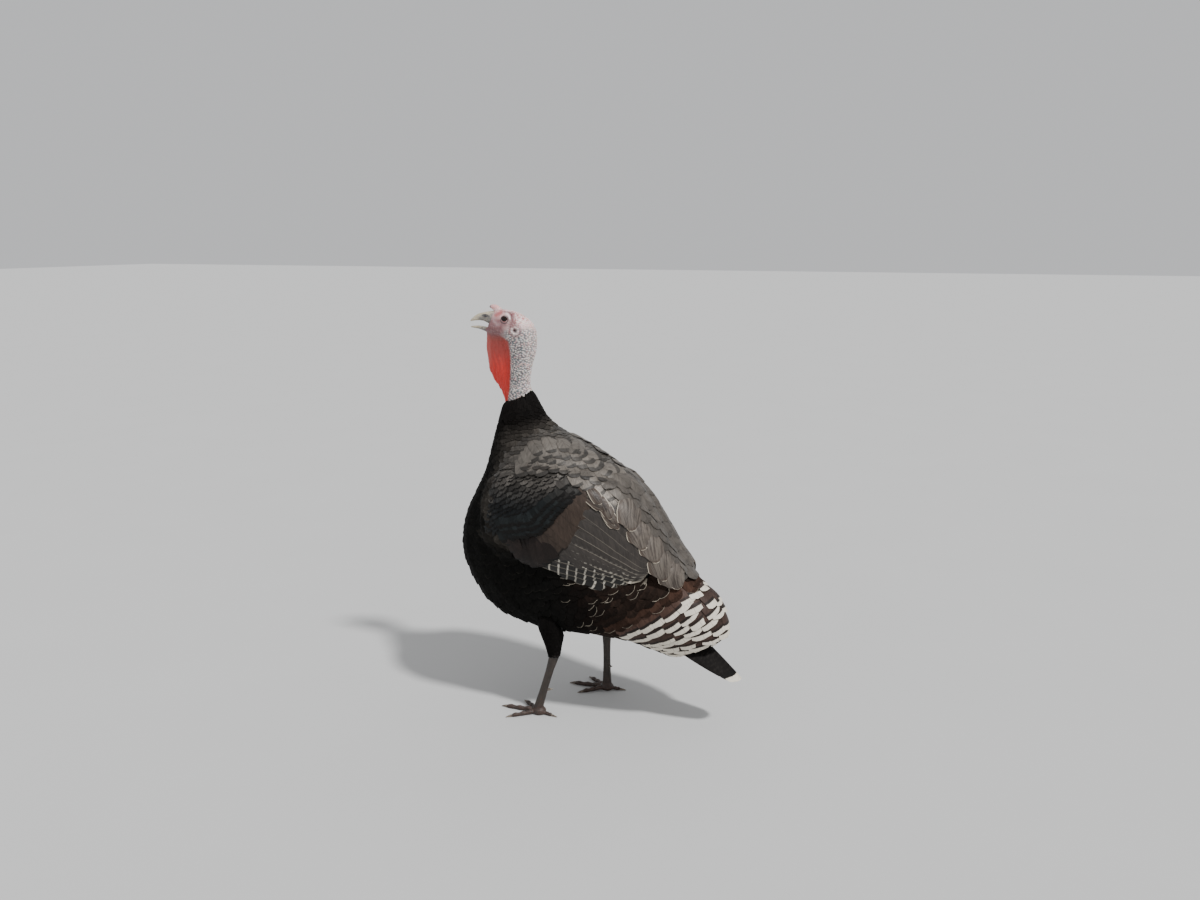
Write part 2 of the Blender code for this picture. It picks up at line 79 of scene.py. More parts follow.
def waves(points, size, seed, count=24):  # smooth noise from -1 to 1, with bumps about as large as size
    local = np.random.default_rng(seed)
    ways = unit(local.normal(size=(count, 3))) * (2 * np.pi / size) * local.uniform(0.6, 1.5, (count, 1))
    return np.sin(points @ ways.T + local.uniform(0, 6.28, count)).sum(axis=1) / math.sqrt(count / 2) / 2


def washed(count, ground, layers):  # colours laid over a ground, each by its share at every place
    tone = np.tile(np.array(ground, float), (count, 1))
    for share, colour in layers:
        tone = tone * (1 - share[:, None]) + np.array(colour) * share[:, None]
    return tone


def deselectAll():
    if bpy.context.object and bpy.context.object.mode != "OBJECT":
        bpy.ops.object.mode_set(mode="OBJECT")
    bpy.ops.object.select_all(action="DESELECT")


def makeActive(piece, others=()):
    deselectAll()
    for chosen in (*others, piece):
        chosen.select_set(True)
    bpy.context.view_layer.objects.active = piece


def applyModifier(piece, kind, **settings):
    makeActive(piece)
    modifier = piece.modifiers.new(kind.lower(), kind)
    for name, value in settings.items():
        setattr(modifier, name, value)
    bpy.ops.object.modifier_apply(modifier=modifier.name)


def remesh(piece, grain, smoothing):
    applyModifier(piece, "REMESH", mode="VOXEL", voxel_size=grain, adaptivity=0)
    applyModifier(piece, "SMOOTH", factor=0.5, iterations=smoothing)


def readAll(items, field, width=3):
    values = np.empty(len(items) * width, np.float32)
    items.foreach_get(field, values)
    return values.reshape(-1, width).astype(float)


def pointsOf(mesh):
    return readAll(mesh.vertices, "co")


def normalsOf(mesh):
    return readAll(mesh.vertex_normals, "vector")


def setPoints(mesh, places):
    mesh.vertices.foreach_set("co", np.ascontiguousarray(places, np.float32).ravel())
    mesh.update()


def setValues(mesh, name, values):  # one number for each corner
    layer = mesh.attributes.new(name, "FLOAT", "POINT")
    layer.data.foreach_set("value", np.ascontiguousarray(values, np.float32).ravel())


def setTones(mesh, name, tones, fourth=None):  # a colour for each corner, and one more number
    if fourth is None:
        fourth = np.ones((len(tones), 1))
    layer = mesh.attributes.new(name, "FLOAT_COLOR", "POINT")
    layer.data.foreach_set("color", np.concatenate([tones, fourth], axis=1).astype(np.float32).ravel())


def newPiece(name, mesh):
    piece = bpy.data.objects.new(name, mesh)
    bpy.context.scene.collection.objects.link(piece)
    return piece


def copyOfNodes(name, nodes, swell):  # one loose copy of several solids, merged and grown a little
    joined = bmesh.new()
    for node in nodes:
        one = bmesh.new()
        one.from_mesh(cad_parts[node].data)
        bmesh.ops.remove_doubles(one, verts=one.verts, dist=1e-5)
        one.normal_update()
        for corner in one.verts:
            corner.co += corner.normal * swell
        mesh = bpy.data.meshes.new("part")
        one.to_mesh(mesh)
        one.free()
        joined.from_mesh(mesh)
        bpy.data.meshes.remove(mesh)
    mesh = bpy.data.meshes.new(name)
    joined.to_mesh(mesh)
    joined.free()
    return newPiece(name, mesh)


def finishPiece(piece, finish, replaced):
    mesh = piece.data
    mesh.materials.clear()
    mesh.materials.append(finish)
    mesh.polygons.foreach_set("material_index", np.zeros(len(mesh.polygons), np.int32))
    makeActive(piece)
    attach(piece, "root")
    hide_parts(*replaced)


class Nodes:  # short ways to add and join shader nodes
    def __init__(self, name):
        self.material = bpy.data.materials.new(name)
        self.material.use_nodes = True
        self.tree = self.material.node_tree
        self.shader = self.tree.nodes["Principled BSDF"]

    def join(self, source, target):
        if isinstance(source, (int, float, tuple)):
            target.default_value = source
        else:
            self.tree.links.new(source, target)

    def add(self, kind, inputs=(), **settings):  # inputs are given in their order or by name
        node = self.tree.nodes.new(kind)
        for name, value in settings.items():
            setattr(node, name, value)
        pairs = inputs.items() if isinstance(inputs, dict) else enumerate(inputs)
        for socket, source in pairs:
            self.join(source, node.inputs[socket])
        return node

    def maths(self, operation, *values):
        return self.add("ShaderNodeMath", values, operation=operation).outputs[0]

    def times(self, a, b):
        return self.maths("MULTIPLY", a, b)

    def plus(self, a, b):
        return self.maths("ADD", a, b)

    def combined(self, *values):
        return self.add("ShaderNodeCombineXYZ", values).outputs[0]

    def ramp(self, value, low, high, first=0.0, last=1.0):  # a smooth step between low and high
        return self.add("ShaderNodeMapRange", (value, low, high, first, last),
                        interpolation_type="SMOOTHSTEP").outputs[0]

    def mix(self, share, a, b, blend="MIX"):
        return self.add("ShaderNodeMix", {"Factor": share, 6: a, 7: b}, data_type="RGBA",
                        blend_type=blend).outputs[2]

    def attribute(self, name, output="Color"):
        return self.add("ShaderNodeAttribute", attribute_name=name).outputs[output]

    def noise(self, vector, scale, detail, roughness):
        inputs = {"Vector": vector, "Scale": scale, "Detail": detail, "Roughness": roughness}
        return self.add("ShaderNodeTexNoise", inputs).outputs["Fac"]

    def cells(self, vector, scale, feature="F1"):
        return self.add("ShaderNodeTexVoronoi", {"Vector": vector, "Scale": scale},
                        feature=feature).outputs["Distance"]

    def stretch(self, vector, scale):
        return self.add("ShaderNodeMapping", {"Vector": vector, "Scale": scale}).outputs[0]

    def place(self):
        return self.add("ShaderNodeTexCoord").outputs["Object"]

    def bump(self, height, strength, distance):
        inputs = {"Strength": strength, "Distance": distance, "Height": height}
        self.set(Normal=self.add("ShaderNodeBump", inputs).outputs[0])

    def set(self, **values):
        for name, value in values.items():
            self.join(value, self.shader.inputs[name.replace("_", " ")])
        return self.material


view = {"stand": (2.082, 0.760, 1.100), "look": (-0.9188, -0.3344, -0.2096), "lens": 30.0, "sensor": 36.0}
studio = {"floor": (0.56, 0.56, 0.555, 1), "floorShade": (0.53, 0.53, 0.525, 1), "floorSize": 60,
          "sky": (0.97, 0.98, 1.0, 1), "skyStrength": 0.64, "sunEnergy": 3.5, "sunFrom": (0.30, 0.66, 1.0),
          "sunSoftness": math.radians(5), "fillEnergy": 5.0, "fillPlace": (2.6, -1.6, 1.5), "fillSize": 2.2,
          "fillAim": (0, 0, 0.45)}


def turnTo(thing, way):  # cameras and lamps look along their own -Z
    thing.rotation_euler = Vector(way).to_track_quat("-Z", "Y").to_euler()


def addLamp(kind, place, way):
    deselectAll()
    bpy.ops.object.light_add(type=kind, location=place)
    turnTo(bpy.context.object, way)
    return bpy.context.object.data


def setStudio():
    deselectAll()
    bpy.ops.object.camera_add(location=view["stand"])
    camera = bpy.context.object
    turnTo(camera, view["look"])
    camera.data.lens, camera.data.sensor_width = view["lens"], view["sensor"]
    bpy.context.scene.camera = camera
    bpy.ops.mesh.primitive_plane_add(size=studio["floorSize"])
    floor = bpy.context.object
    floor.name = "floor"
    nodes = Nodes("pale floor")
    cloudy = nodes.ramp(nodes.noise(nodes.place(), 3.0, 3.0, 0.55), 0.3, 0.7, 0.0, 0.25)
    nodes.set(Base_Color=nodes.mix(cloudy, studio["floor"], studio["floorShade"]), Roughness=0.85)
    floor.data.materials.append(nodes.material)
    world = bpy.data.worlds.new("studio")
    world.use_nodes = True
    background = world.node_tree.nodes["Background"]
    background.inputs["Color"].default_value = studio["sky"]
    background.inputs["Strength"].default_value = studio["skyStrength"]
    bpy.context.scene.world = world
    sun = addLamp("SUN", (1, 1, 3), -Vector(studio["sunFrom"]))
    sun.energy, sun.angle = studio["sunEnergy"], studio["sunSoftness"]
    fill = addLamp("AREA", studio["fillPlace"], Vector(studio["fillAim"]) - Vector(studio["fillPlace"]))
    fill.energy, fill.size = studio["fillEnergy"], studio["fillSize"]


setStudio()
print("stage: camera, floor and lamps")

# the forms that feathers lie on
forms = {"swell": 0.0006, "grain": 0.005, "smoothing": {"whole": 5, "wings": 0, "thighs": 4, "collar": 4}}


def treeOf(name, nodes):
    form = copyOfNodes(name, nodes, forms["swell"])
    remesh(form, forms["grain"], forms["smoothing"][name])
    shape = bmesh.new()
    shape.from_mesh(form.data)
    tree = BVHTree.FromBMesh(shape)
    shape.free()
    bpy.data.objects.remove(form)
    return tree


wholeTree = treeOf("whole", trunkNodes + wingNodes)
wingTree = treeOf("wings", wingNodes)
thighTree = treeOf("thighs", thighNodes + ["shank_left", "shank_right"])
print("stage: forms")


def laidOn(find, aims, lifts):  # the form's places and outward normals that find gives for an array of aims
    hits = [find(Vector(aim)) for aim in aims.reshape(-1, 3)]
    paths, normals = (np.array([tuple(hit[k]) for hit in hits]).reshape(aims.shape) for k in (0, 1))
    return {"paths": paths, "normals": normals, "lifts": lifts}


# one vane, modelled once and copied along every quill
vane = {"sizes": {"small": (6, 6), "broad": (7, 6), "long": (11, 6)}, "camber": 0.16, "crowd": 0.8,
        "patch": 0.003, "sharp": math.radians(60)}


def selectEdges(leaf, chosen):
    bpy.ops.mesh.select_all(action="DESELECT")
    bpy.ops.object.mode_set(mode="OBJECT")
    for edge in leaf.data.edges:
        edge.select = all(chosen(leaf.data.vertices[i].co) for i in edge.vertices)
    bpy.ops.object.mode_set(mode="EDIT")


def patternVane(rows, columns):  # a thin closed leaf: x runs from -1 to 1 across it, y from 0 to 1 along it
    deselectAll()
    bpy.ops.mesh.primitive_grid_add(x_subdivisions=columns, y_subdivisions=rows, size=2)
    leaf = bpy.context.object
    for corner in leaf.data.vertices:
        corner.co.y = (corner.co.y + 1) / 2
        corner.co.z = vane["camber"] * (1 - corner.co.x ** 2)
    bpy.ops.object.mode_set(mode="EDIT")
    bpy.ops.mesh.select_mode(type="EDGE")
    # the underside spans from one long edge to the other
    selectEdges(leaf, lambda place: abs(place.x) > 0.999)
    bpy.ops.mesh.bridge_edge_loops()
    for end in (0, 1):
        selectEdges(leaf, lambda place: abs(place.y - end) < 0.001)
        bpy.ops.mesh.edge_face_add()
    bpy.ops.mesh.select_all(action="SELECT")
    bpy.ops.mesh.normals_make_consistent(inside=False)
    bpy.ops.object.mode_set(mode="OBJECT")
    places = pointsOf(leaf.data)
    faces = [list(face.vertices) for face in leaf.data.polygons]
    bpy.data.objects.remove(leaf)
    return {"across": places[:, 0], "along": places[:, 1], "faces": faces}


patterns = {size: patternVane(rows, columns) for size, (rows, columns) in vane["sizes"].items()}


def alongPath(paths, share):  # Catmull-Rom through each path's points; share is a number for each corner
    last = paths.shape[1] - 1
    spot = np.clip(share, 0, 1) * last
    k = np.minimum(spot.astype(int), last - 1)
    t = (spot - k)[:, None]
    p0, p1 = paths[:, np.maximum(k - 1, 0)], paths[:, k]
    p2, p3 = paths[:, k + 1], paths[:, np.minimum(k + 2, last)]
    bend, twist = 2 * p0 - 5 * p1 + 4 * p2 - p3, 3 * p1 - p0 - 3 * p2 + p3
    return p1 + 0.5 * ((p2 - p0) * t + bend * t ** 2 + twist * t ** 3)


def vaneMesh(name, pattern, places, uvs):  # every vane as its own closed shell in one mesh
    count, corners = places.shape[:2]
    faceSizes = np.tile([len(face) for face in pattern["faces"]], count)
    loops = (np.concatenate(pattern["faces"])[None] + (np.arange(count) * corners)[:, None]).ravel()
    mesh = bpy.data.meshes.new(name)
    mesh.vertices.add(count * corners)
    mesh.loops.add(len(loops))
    mesh.polygons.add(len(faceSizes))
    mesh.vertices.foreach_set("co", places.astype(np.float32).ravel())
    mesh.loops.foreach_set("vertex_index", loops.astype(np.int32))
    mesh.polygons.foreach_set("loop_start", (np.cumsum(faceSizes) - faceSizes).astype(np.int32))
    mesh.update(calc_edges=True)
    for layerName, values in uvs.items():
        layer = mesh.uv_layers.new(name=layerName, do_init=False)
        layer.uv.foreach_set("vector", values.reshape(-1, 2)[loops].astype(np.float32).ravel())
    return mesh


def growVanes(name, batch, shape, finish, size="small", tree=wholeTree, replaced=trunkNodes):
    # batch has for each feather its path, outward normals, lifts, width, roll, ground colour, marks
    # and its root's place on the unwrap
    pattern = patterns[size]
    across, along = pattern["across"], pattern["along"] ** vane["crowd"]
    paths, width = batch["paths"], batch["widths"][:, None, None] / 2
    count, corners = len(paths), len(across)
    spine, step = alongPath(paths, along), 0.02
    before = alongPath(paths, np.maximum(along - step, 0))
    after = alongPath(paths, np.minimum(along + step, 1))
    ahead = unit(after - before)
    sideways = unit(np.cross(ahead, alongPath(batch["normals"], along)))
    outward = unit(np.cross(sideways, ahead))
    swell = width * np.interp(along, *shape["outline"])[None, :, None]
    c, t = across[None, :, None], along[None, :, None]
    roll = batch["rolls"][:, None, None] * c * width
    fray = chance.normal(0, 1, (count, corners, 1)) * shape["fray"] * (t > 0.9) * np.abs(c) ** 0.5
    rounding = width * shape["rounding"] * np.abs(c) ** 2.6 * t ** 5
    places = spine + sideways * swell * c - ahead * (rounding + fray)
    if tree:  # laid on the form: every corner stands its own height over it
        lifts = alongPath(batch["lifts"][:, :, None], along)
        heights = lifts + width * shape["camber"] * (1 - c ** 2) + roll
        laid = laidOn(tree.find_nearest, places, heights)
        places = laid["paths"] + laid["normals"] * heights
    else:
        places += outward * (swell * (shape["camber"] * (1 - c ** 2) - shape["hug"] * c ** 2) + roll)
    # the vane's own map in metres: x from the quill, y from the tip
    lengths = np.linalg.norm(np.diff(paths, axis=1), axis=2).sum(axis=1)
    fromTip = lengths[:, None] * (1 - along[None])
    rim = np.minimum(swell[..., 0] * (1 - np.abs(across)[None]), fromTip)
    patch = np.stack([across / 2, along - 0.5], axis=-1)[None] * vane["patch"]
    own = np.stack([(swell * c)[..., 0], fromTip], axis=-1)
    mesh = vaneMesh(name, pattern, places, {"OFBake": batch["roots"][:, None, :] + patch, "Vane": own})
    setValues(mesh, "rim", rim)
    for key in ("grounds", "marks"):
        values = np.repeat(batch[key], corners, axis=0)
        setTones(mesh, key, values[:, :3], values[:, 3:])
    mesh.shade_smooth()
    mesh.set_sharp_from_angle(angle=vane["sharp"])
    finishPiece(newPiece(name, mesh), finish, replaced)
    triangles = sum(len(face) - 2 for face in pattern["faces"]) * count
    print("stage:", name, count, "feathers,", triangles, "triangles")


plumage = {"barbSize": 0.0011, "barbSlant": 1.1,
           "cream": (0.72, 0.67, 0.57, 1), "fringe": (0.52, 0.46, 0.37, 1), "dun": (0.42, 0.36, 0.29, 1),
           "black": (0.005, 0.0045, 0.004, 1), "soot": (0, 0, 0, 1), "quill": (0.45, 0.40, 0.36, 1),
           "paleRay": (0.20, 0.175, 0.145, 1), "darkRay": (0.022, 0.016, 0.013, 1),
           "margin": (0.052, 0.032, 0.022, 1)}


def plumageMaterial(name, roughness, metallic, gloss, barred=0, barFrom=0.30, barReach=0, fringe=0.0015,
                    fringeReach=0.012, darkBar=0.010, whiteBand=0.016, rays=False):
    nodes = Nodes(name)
    ramp, mix, times, plus = nodes.ramp, nodes.mix, nodes.times, nodes.plus
    vaneMap = nodes.add("ShaderNodeUVMap", uv_map="Vane").outputs[0]
    flat = nodes.add("ShaderNodeSeparateXYZ", [vaneMap]).outputs
    fromQuill, fromTip = nodes.maths("ABSOLUTE", flat[0]), flat[1]
    ground, seed = nodes.attribute("grounds"), nodes.attribute("grounds", "Alpha")
    dark, pale, white = nodes.add("ShaderNodeSeparateColor", [nodes.attribute("marks")]).outputs
    rim = nodes.attribute("rim", "Fac")
    # barbs slant from the quill towards the tip
    barb = nodes.maths("MULTIPLY_ADD", fromQuill, plumage["barbSlant"], fromTip)
    lined = nodes.combined(nodes.maths("DIVIDE", barb, plumage["barbSize"]), times(fromQuill, 90.0),
                           times(seed, 50.0))
    streak = nodes.noise(lined, 1.0, 2.0, 0.6)
    broad = nodes.noise(nodes.stretch(lined, (0.12, 0.6, 1.0)), 1.0, 2.0, 0.5)
    wander = nodes.maths("MULTIPLY_ADD", streak, 0.0030, -0.0015)
    ragged = plus(fromTip, wander)
    shade = mix(ramp(streak, 0.3, 0.7, 0.0, 0.40), ground, plumage["soot"])
    shade = mix(ramp(broad, 0.35, 0.75, 0.0, 0.35), shade, ground, "ADD")
    if barred:  # pale broken bars across the vane, strongest near its edges
        run = nodes.maths("DIVIDE", plus(fromTip, times(wander, 0.8)), barred)
        bar = ramp(nodes.maths("PINGPONG", run, 0.5), barFrom, barFrom + 0.07)
        bar = times(bar, nodes.maths("MULTIPLY_ADD", ramp(broad, 0.35, 0.6), 0.6, 0.4))
        if barReach:
            bar = times(bar, ramp(rim, barReach * 0.3, barReach, 1.0, 0.0))
        shade = mix(times(bar, nodes.attribute("marks", "Alpha")), shade, plumage["cream"])
    if rays:  # pale and dark streaks that spread from the quill towards the tip, inside a brown margin
        spread = nodes.maths("DIVIDE", flat[0], plus(fromTip, 0.035))
        fanned = nodes.combined(times(spread, 26.0), times(fromTip, 25.0), times(seed, 50.0))
        ray = nodes.noise(fanned, 1.0, 2.0, 0.5)
        shade = mix(ramp(ray, 0.42, 0.62, 0.0, 0.40), shade, plumage["paleRay"])
        shade = mix(ramp(ray, 0.46, 0.36, 0.0, 0.40), shade, plumage["darkRay"])
        shade = mix(ramp(rim, 0.005, 0.011, 0.55, 0.0), shade, plumage["margin"])
    band = times(white, whiteBand)
    barEnd = plus(band, darkBar)
    shade = mix(times(ramp(ragged, barEnd, plus(barEnd, 0.0025), 1.0, 0.0), dark), shade, plumage["black"])
    inFringe = ramp(plus(rim, times(wander, 0.5)), fringe * 0.4, fringe * 1.3, 1.0, 0.0)
    inFringe = times(inFringe, ramp(ragged, fringeReach * 0.5, fringeReach, 1.0, 0.0))
    shade = mix(times(inFringe, pale), shade, plumage["fringe"])
    inWhite = times(ramp(ragged, plus(band, -0.0010), plus(band, 0.0010), 1.0, 0.0), ramp(white, 0.02, 0.08))
    shade = mix(inWhite, shade, mix(ramp(streak, 0.35, 0.75, 0.0, 0.5), plumage["cream"], plumage["dun"]))
    shade = mix(ramp(fromQuill, 0.0003, 0.0009, 0.6, 0.0), shade, plumage["quill"], "MULTIPLY")
    nodes.bump(streak, 0.55, 0.0006)
    return nodes.set(Base_Color=shade, Metallic=times(ramp(inWhite, 0.0, 1.0, 1.0, 0.0), metallic),
                     Roughness=ramp(streak, 0.2, 0.8, roughness - 0.08, roughness + 0.12),
                     Specular_IOR_Level=gloss)


# shapes of the vanes: half widths along the quill, a rounded tip, the hollow side down, and frayed ends
contour = {"outline": ([0, 0.25, 0.5, 0.8, 1.0], [0.35, 0.80, 1.0, 1.0, 0.86]), "rounding": 0.34,
           "camber": 0.07, "hug": 0.10, "fray": 0.0006}
softContour = dict(contour, rounding=0.42, fray=0.0010, camber=0.09)
thighContour = dict(softContour, camber=0.10)
squareTipped = dict(contour, outline=([0, 0.25, 0.6, 1.0], [0.35, 0.80, 1.0, 0.98]), rounding=0.16,
                    fray=0.0012)
flatTipped = dict(contour, outline=([0, 0.25, 0.55, 0.85, 1.0], [0.45, 0.88, 1.0, 0.92, 0.66]),
                  rounding=0.50, camber=0.06)
broadTipped = dict(contour, rounding=0.16, camber=0.04, fray=0.0004)
roundTipped = dict(broadTipped, rounding=0.55)
longQuill = {"outline": ([0, 0.2, 0.6, 0.9, 1.0], [0.45, 0.8, 1.0, 0.85, 0.45]), "rounding": 0.5,
             "camber": 0.05, "hug": 0.04, "fray": 0.0005}
broadQuill = dict(longQuill, outline=([0, 0.3, 0.6, 0.82, 1.0], [0.4, 0.85, 1.0, 0.94, 0.56]),
                  rounding=0.80, camber=0.09)
tailQuill = {"outline": ([0, 0.25, 0.7, 0.93, 1.0], [0.5, 0.85, 1.0, 1.0, 0.9]), "rounding": 0.30,
             "camber": 0.02, "fray": 0.0004}

bodyFinish = plumageMaterial("body plumage", 0.42, 0.25, 0.35)
softFinish = plumageMaterial("soft plumage", 0.75, 0.0, 0.04)
rumpFinish = plumageMaterial("rump plumage", 0.55, 0.05, 0.2, darkBar=0.0050, whiteBand=0.0145)

# body feathers, in rows round the body from neck to tail
bodyLie = [  # (back forward, back up, front forward, front up) of rings that the rows follow
    (0.161, 0.744, 0.229, 0.722), (0.120, 0.678, 0.248, 0.655), (0.016, 0.624, 0.274, 0.560),
    (-0.068, 0.572, 0.328, 0.450), (-0.124, 0.500, 0.334, 0.345), (-0.162, 0.434, 0.262, 0.232),
    (-0.192, 0.390, 0.129, 0.192), (-0.231, 0.346, -0.001, 0.194), (-0.278, 0.310, -0.076, 0.190),
    (-0.304, 0.266, -0.136, 0.174), (-0.311, 0.222, -0.178, 0.160),
]
body = {"rings": 110, "angles": 72, "splay": 0.75, "fringed": 0.32,
        "gap": ([0, 0.10, 0.20, 0.38, 0.60, 0.68, 1],
                [0.0065, 0.0080, 0.0105, 0.0135, 0.0180, 0.0250, 0.0250]),
        "spacing": ([0, 0.10, 0.20, 0.40, 0.60, 0.68, 1],
                    [0.0085, 0.0110, 0.0150, 0.0190, 0.0220, 0.0340, 0.0360])}


def bodyGrid():  # places on the form by ring and angle; angle 0 is the back, pi the front
    grid = np.empty((body["rings"], body["angles"], 3))
    rings = alongPath(np.array(bodyLie)[None], np.linspace(0, 1, body["rings"]))[0]
    for i, (backForward, backUp, frontForward, frontUp) in enumerate(rings):
        back, front = at(0, backForward, backUp), at(0, frontForward, frontUp)
        middle, towards = (back + front) / 2, (back - front).normalized()
        for j in range(body["angles"]):
            angle = 2 * math.pi * j / body["angles"]
            way = towards * math.cos(angle) + Vector((math.sin(angle), 0, 0))
            grid[i, j] = wholeTree.ray_cast(middle, way.normalized())[0] or middle
    return grid


skinGrid = bodyGrid()


def onGrid(ring, angle):  # both from 0 to 1, the angle turning round
    i = np.clip(ring, 0, 1) * (body["rings"] - 1)
    j = (angle % 1) * body["angles"]
    i0 = np.minimum(i.astype(int), body["rings"] - 2)
    j0 = j.astype(int) % body["angles"]
    j1 = (j0 + 1) % body["angles"]
    u, v = (i - i0)[:, None], (j - j.astype(int))[:, None]
    return ((skinGrid[i0, j0] * (1 - v) + skinGrid[i0, j1] * v) * (1 - u)
            + (skinGrid[i0 + 1, j0] * (1 - v) + skinGrid[i0 + 1, j1] * v) * u)


def bodyRows():  # staggered roots: ring share, angle share
    shares = np.linspace(0, 1, 200)
    run = runAlong((onGrid(shares, shares * 0) + onGrid(shares, shares * 0 + 0.3)) / 2)
    ring, angle, row, place = [], [], 0, 0.0
    while place < run[-1]:
        share = float(np.interp(place, run, shares))
        turns = np.linspace(0, 1, 97)
        around = runAlong(onGrid(np.full(97, share), turns))
        count = max(int(around[-1] / float(np.interp(share, *body["spacing"]))), 8)
        spots = (np.arange(count) + 0.5 * (row % 2)) / count * around[-1]
        ring += [share] * count
        angle += list(np.interp(spots, around, turns))
        row += 1
        place += float(np.interp(share, *body["gap"]))
    ring = np.array(ring) + chance.normal(0, 0.0022, len(ring))
    return ring, np.array(angle) + chance.normal(0, 0.0012, len(angle))


bodyStyles = {  # marks are dark bar, pale fringe, white band and bars
    "ruff": dict(wide=0.019, long=0.030, deep=-0.006, lift=0.0026, ground=(0.0055, 0.0045, 0.0040),
                 marks=(0.2, 0, 0, 0)),
    "mantle": dict(wide=0.029, long=0.042, deep=-0.007, lift=0.0012, ground=(0.118, 0.105, 0.091),
                   marks=(0.5, 0.03, 0, 0)),
    "back": dict(wide=0.042, long=0.060, deep=-0.008, lift=0.0012, ground=(0.128, 0.112, 0.095),
                 marks=(0.8, 0.04, 0, 0)),
    "breast": dict(wide=0.028, long=0.040, deep=-0.007, lift=0.001, ground=(0.0056, 0.0055, 0.005),
                   marks=(0.3, 0.02, 0, 0)),
    "belly": dict(wide=0.038, long=0.056, deep=-0.009, lift=0.001, ground=(0.0028, 0.0027, 0.0024),
                  marks=(0, 0.02, 0, 0)),
    "flank": dict(wide=0.040, long=0.060, deep=-0.009, lift=0.001, ground=(0.0060, 0.0045, 0.0038),
                  marks=(0.4, 0.5, 0, 0)),
    "rump": dict(wide=0.050, long=0.080, deep=-0.010, lift=0.0018, ground=(0.048, 0.028, 0.021),
                 marks=(0.8, 0, 1.0, 0)),
    "vent": dict(wide=0.046, long=0.070, deep=-0.009, lift=0.001, ground=(0.016, 0.011, 0.009),
                 marks=(0.4, 0.3, 0, 0)),
}
bodyPieces = {  # styles, shape, vane and finish of each piece
    "feathers_ruff": (("ruff",), softContour, "small", softFinish),
    "feathers_mantle": (("mantle", "back"), contour, "small", bodyFinish),
    "feathers_breast": (("breast",), softContour, "small", softFinish),
    "feathers_belly": (("belly", "vent"), softContour, "small", softFinish),
    "feathers_flank": (("flank",), softContour, "small", softFinish),
    "feathers_rump": (("rump",), squareTipped, "broad", rumpFinish),
}


def bodyWeights(roots, ring, angle):  # how much of each style a feather has, by where its root is
    forward, up = -roots[:, 1], roots[:, 2]
    above = np.cos(2 * np.pi * angle)  # 1 on the back, -1 at the front
    ruff = 1 - smoothStep(0.035, 0.150, ring + 0.010 * above + 0.022 * waves(roots, 0.08, 61))
    tailwards, rumpwards = smoothStep(0.60, 0.68, ring), smoothStep(-0.42, -0.18, above)
    rest = (1 - ruff) * (1 - tailwards)
    upper = smoothStep(-0.80, -0.15, above + 0.15 * waves(roots, 0.07, 63)) * smoothStep(0.42, 0.54, up)
    scapular = smoothStep(0.26, 0.36, ring)
    belly = smoothStep(0.30, 0.24, up) * (1 - smoothStep(0.10, 0.16, np.abs(roots[:, 0]) + 0.05))
    flank = smoothStep(0.10, 0.02, forward) * smoothStep(0.42, 0.46, ring) * (1 - belly)
    lower = rest * (1 - upper)
    mantle, breast = rest * upper, lower * (1 - belly)
    weights = np.stack([ruff, mantle * (1 - scapular), mantle * scapular, breast * (1 - flank),
                        lower * belly, lower * flank, tailwards * rumpwards,
                        tailwards * (1 - rumpwards)], axis=1)
    return weights / np.maximum(weights.sum(axis=1, keepdims=True), 1e-6)


def styleTable(key):
    return np.array([np.atleast_1d(style[key]) for style in bodyStyles.values()], float)


def mixed(weights, key):
    return weights @ styleTable(key)


gridFinder = KDTree(body["rings"] * body["angles"])
for i, spot in enumerate(skinGrid.reshape(-1, 3)):
    gridFinder.insert(Vector(spot), i)
gridFinder.balance()


def nearestOnGrid(places):  # ring and angle of the grid's nearest places
    nearest = np.array([gridFinder.find(Vector(place))[1] for place in places])
    return nearest // body["angles"], nearest % body["angles"]


def unwrapOf(ring, angle):
    return np.stack([0.02 + 0.62 * angle, 0.03 + 0.94 * ring], axis=1)


def unwrapAt(roots):  # the same unwrap, for roots that aren't set out on the grid
    ring, angle = nearestOnGrid(roots)
    nudge = chance.uniform(-0.5, 0.5, (2, len(roots)))
    return unwrapOf((ring + nudge[0]) / (body["rings"] - 1), (angle + nudge[1]) / body["angles"])


def layRows(tree, starts, ways, longs, deep, lift):  # three-point paths from each root along its way
    steps = np.linspace(0, 1, 3)[None, :, None]
    rough = starts[:, None] * (1 - steps) + (starts + ways * longs[:, None])[:, None] * steps
    return laidOn(tree.find_nearest, rough, np.stack([deep, deep * 0.30 + lift * 0.7, lift], axis=1))


wingEdge = {"near": 0.012, "top": 0.60, "side": 0.045, "front": 0.150, "low": 0.452, "bend": 0.203}


def underWing(root, middle):  # the wings cover a feather here, but for those that lap over their front edge
    inFront = -middle[1] > wingEdge["front"] and middle[2] < wingEdge["low"] or -middle[1] > wingEdge["bend"]
    near = wingTree.find_nearest(Vector(middle))[3] < wingEdge["near"]
    return near and root[2] < wingEdge["top"] and abs(root[0]) > wingEdge["side"] and not inFront


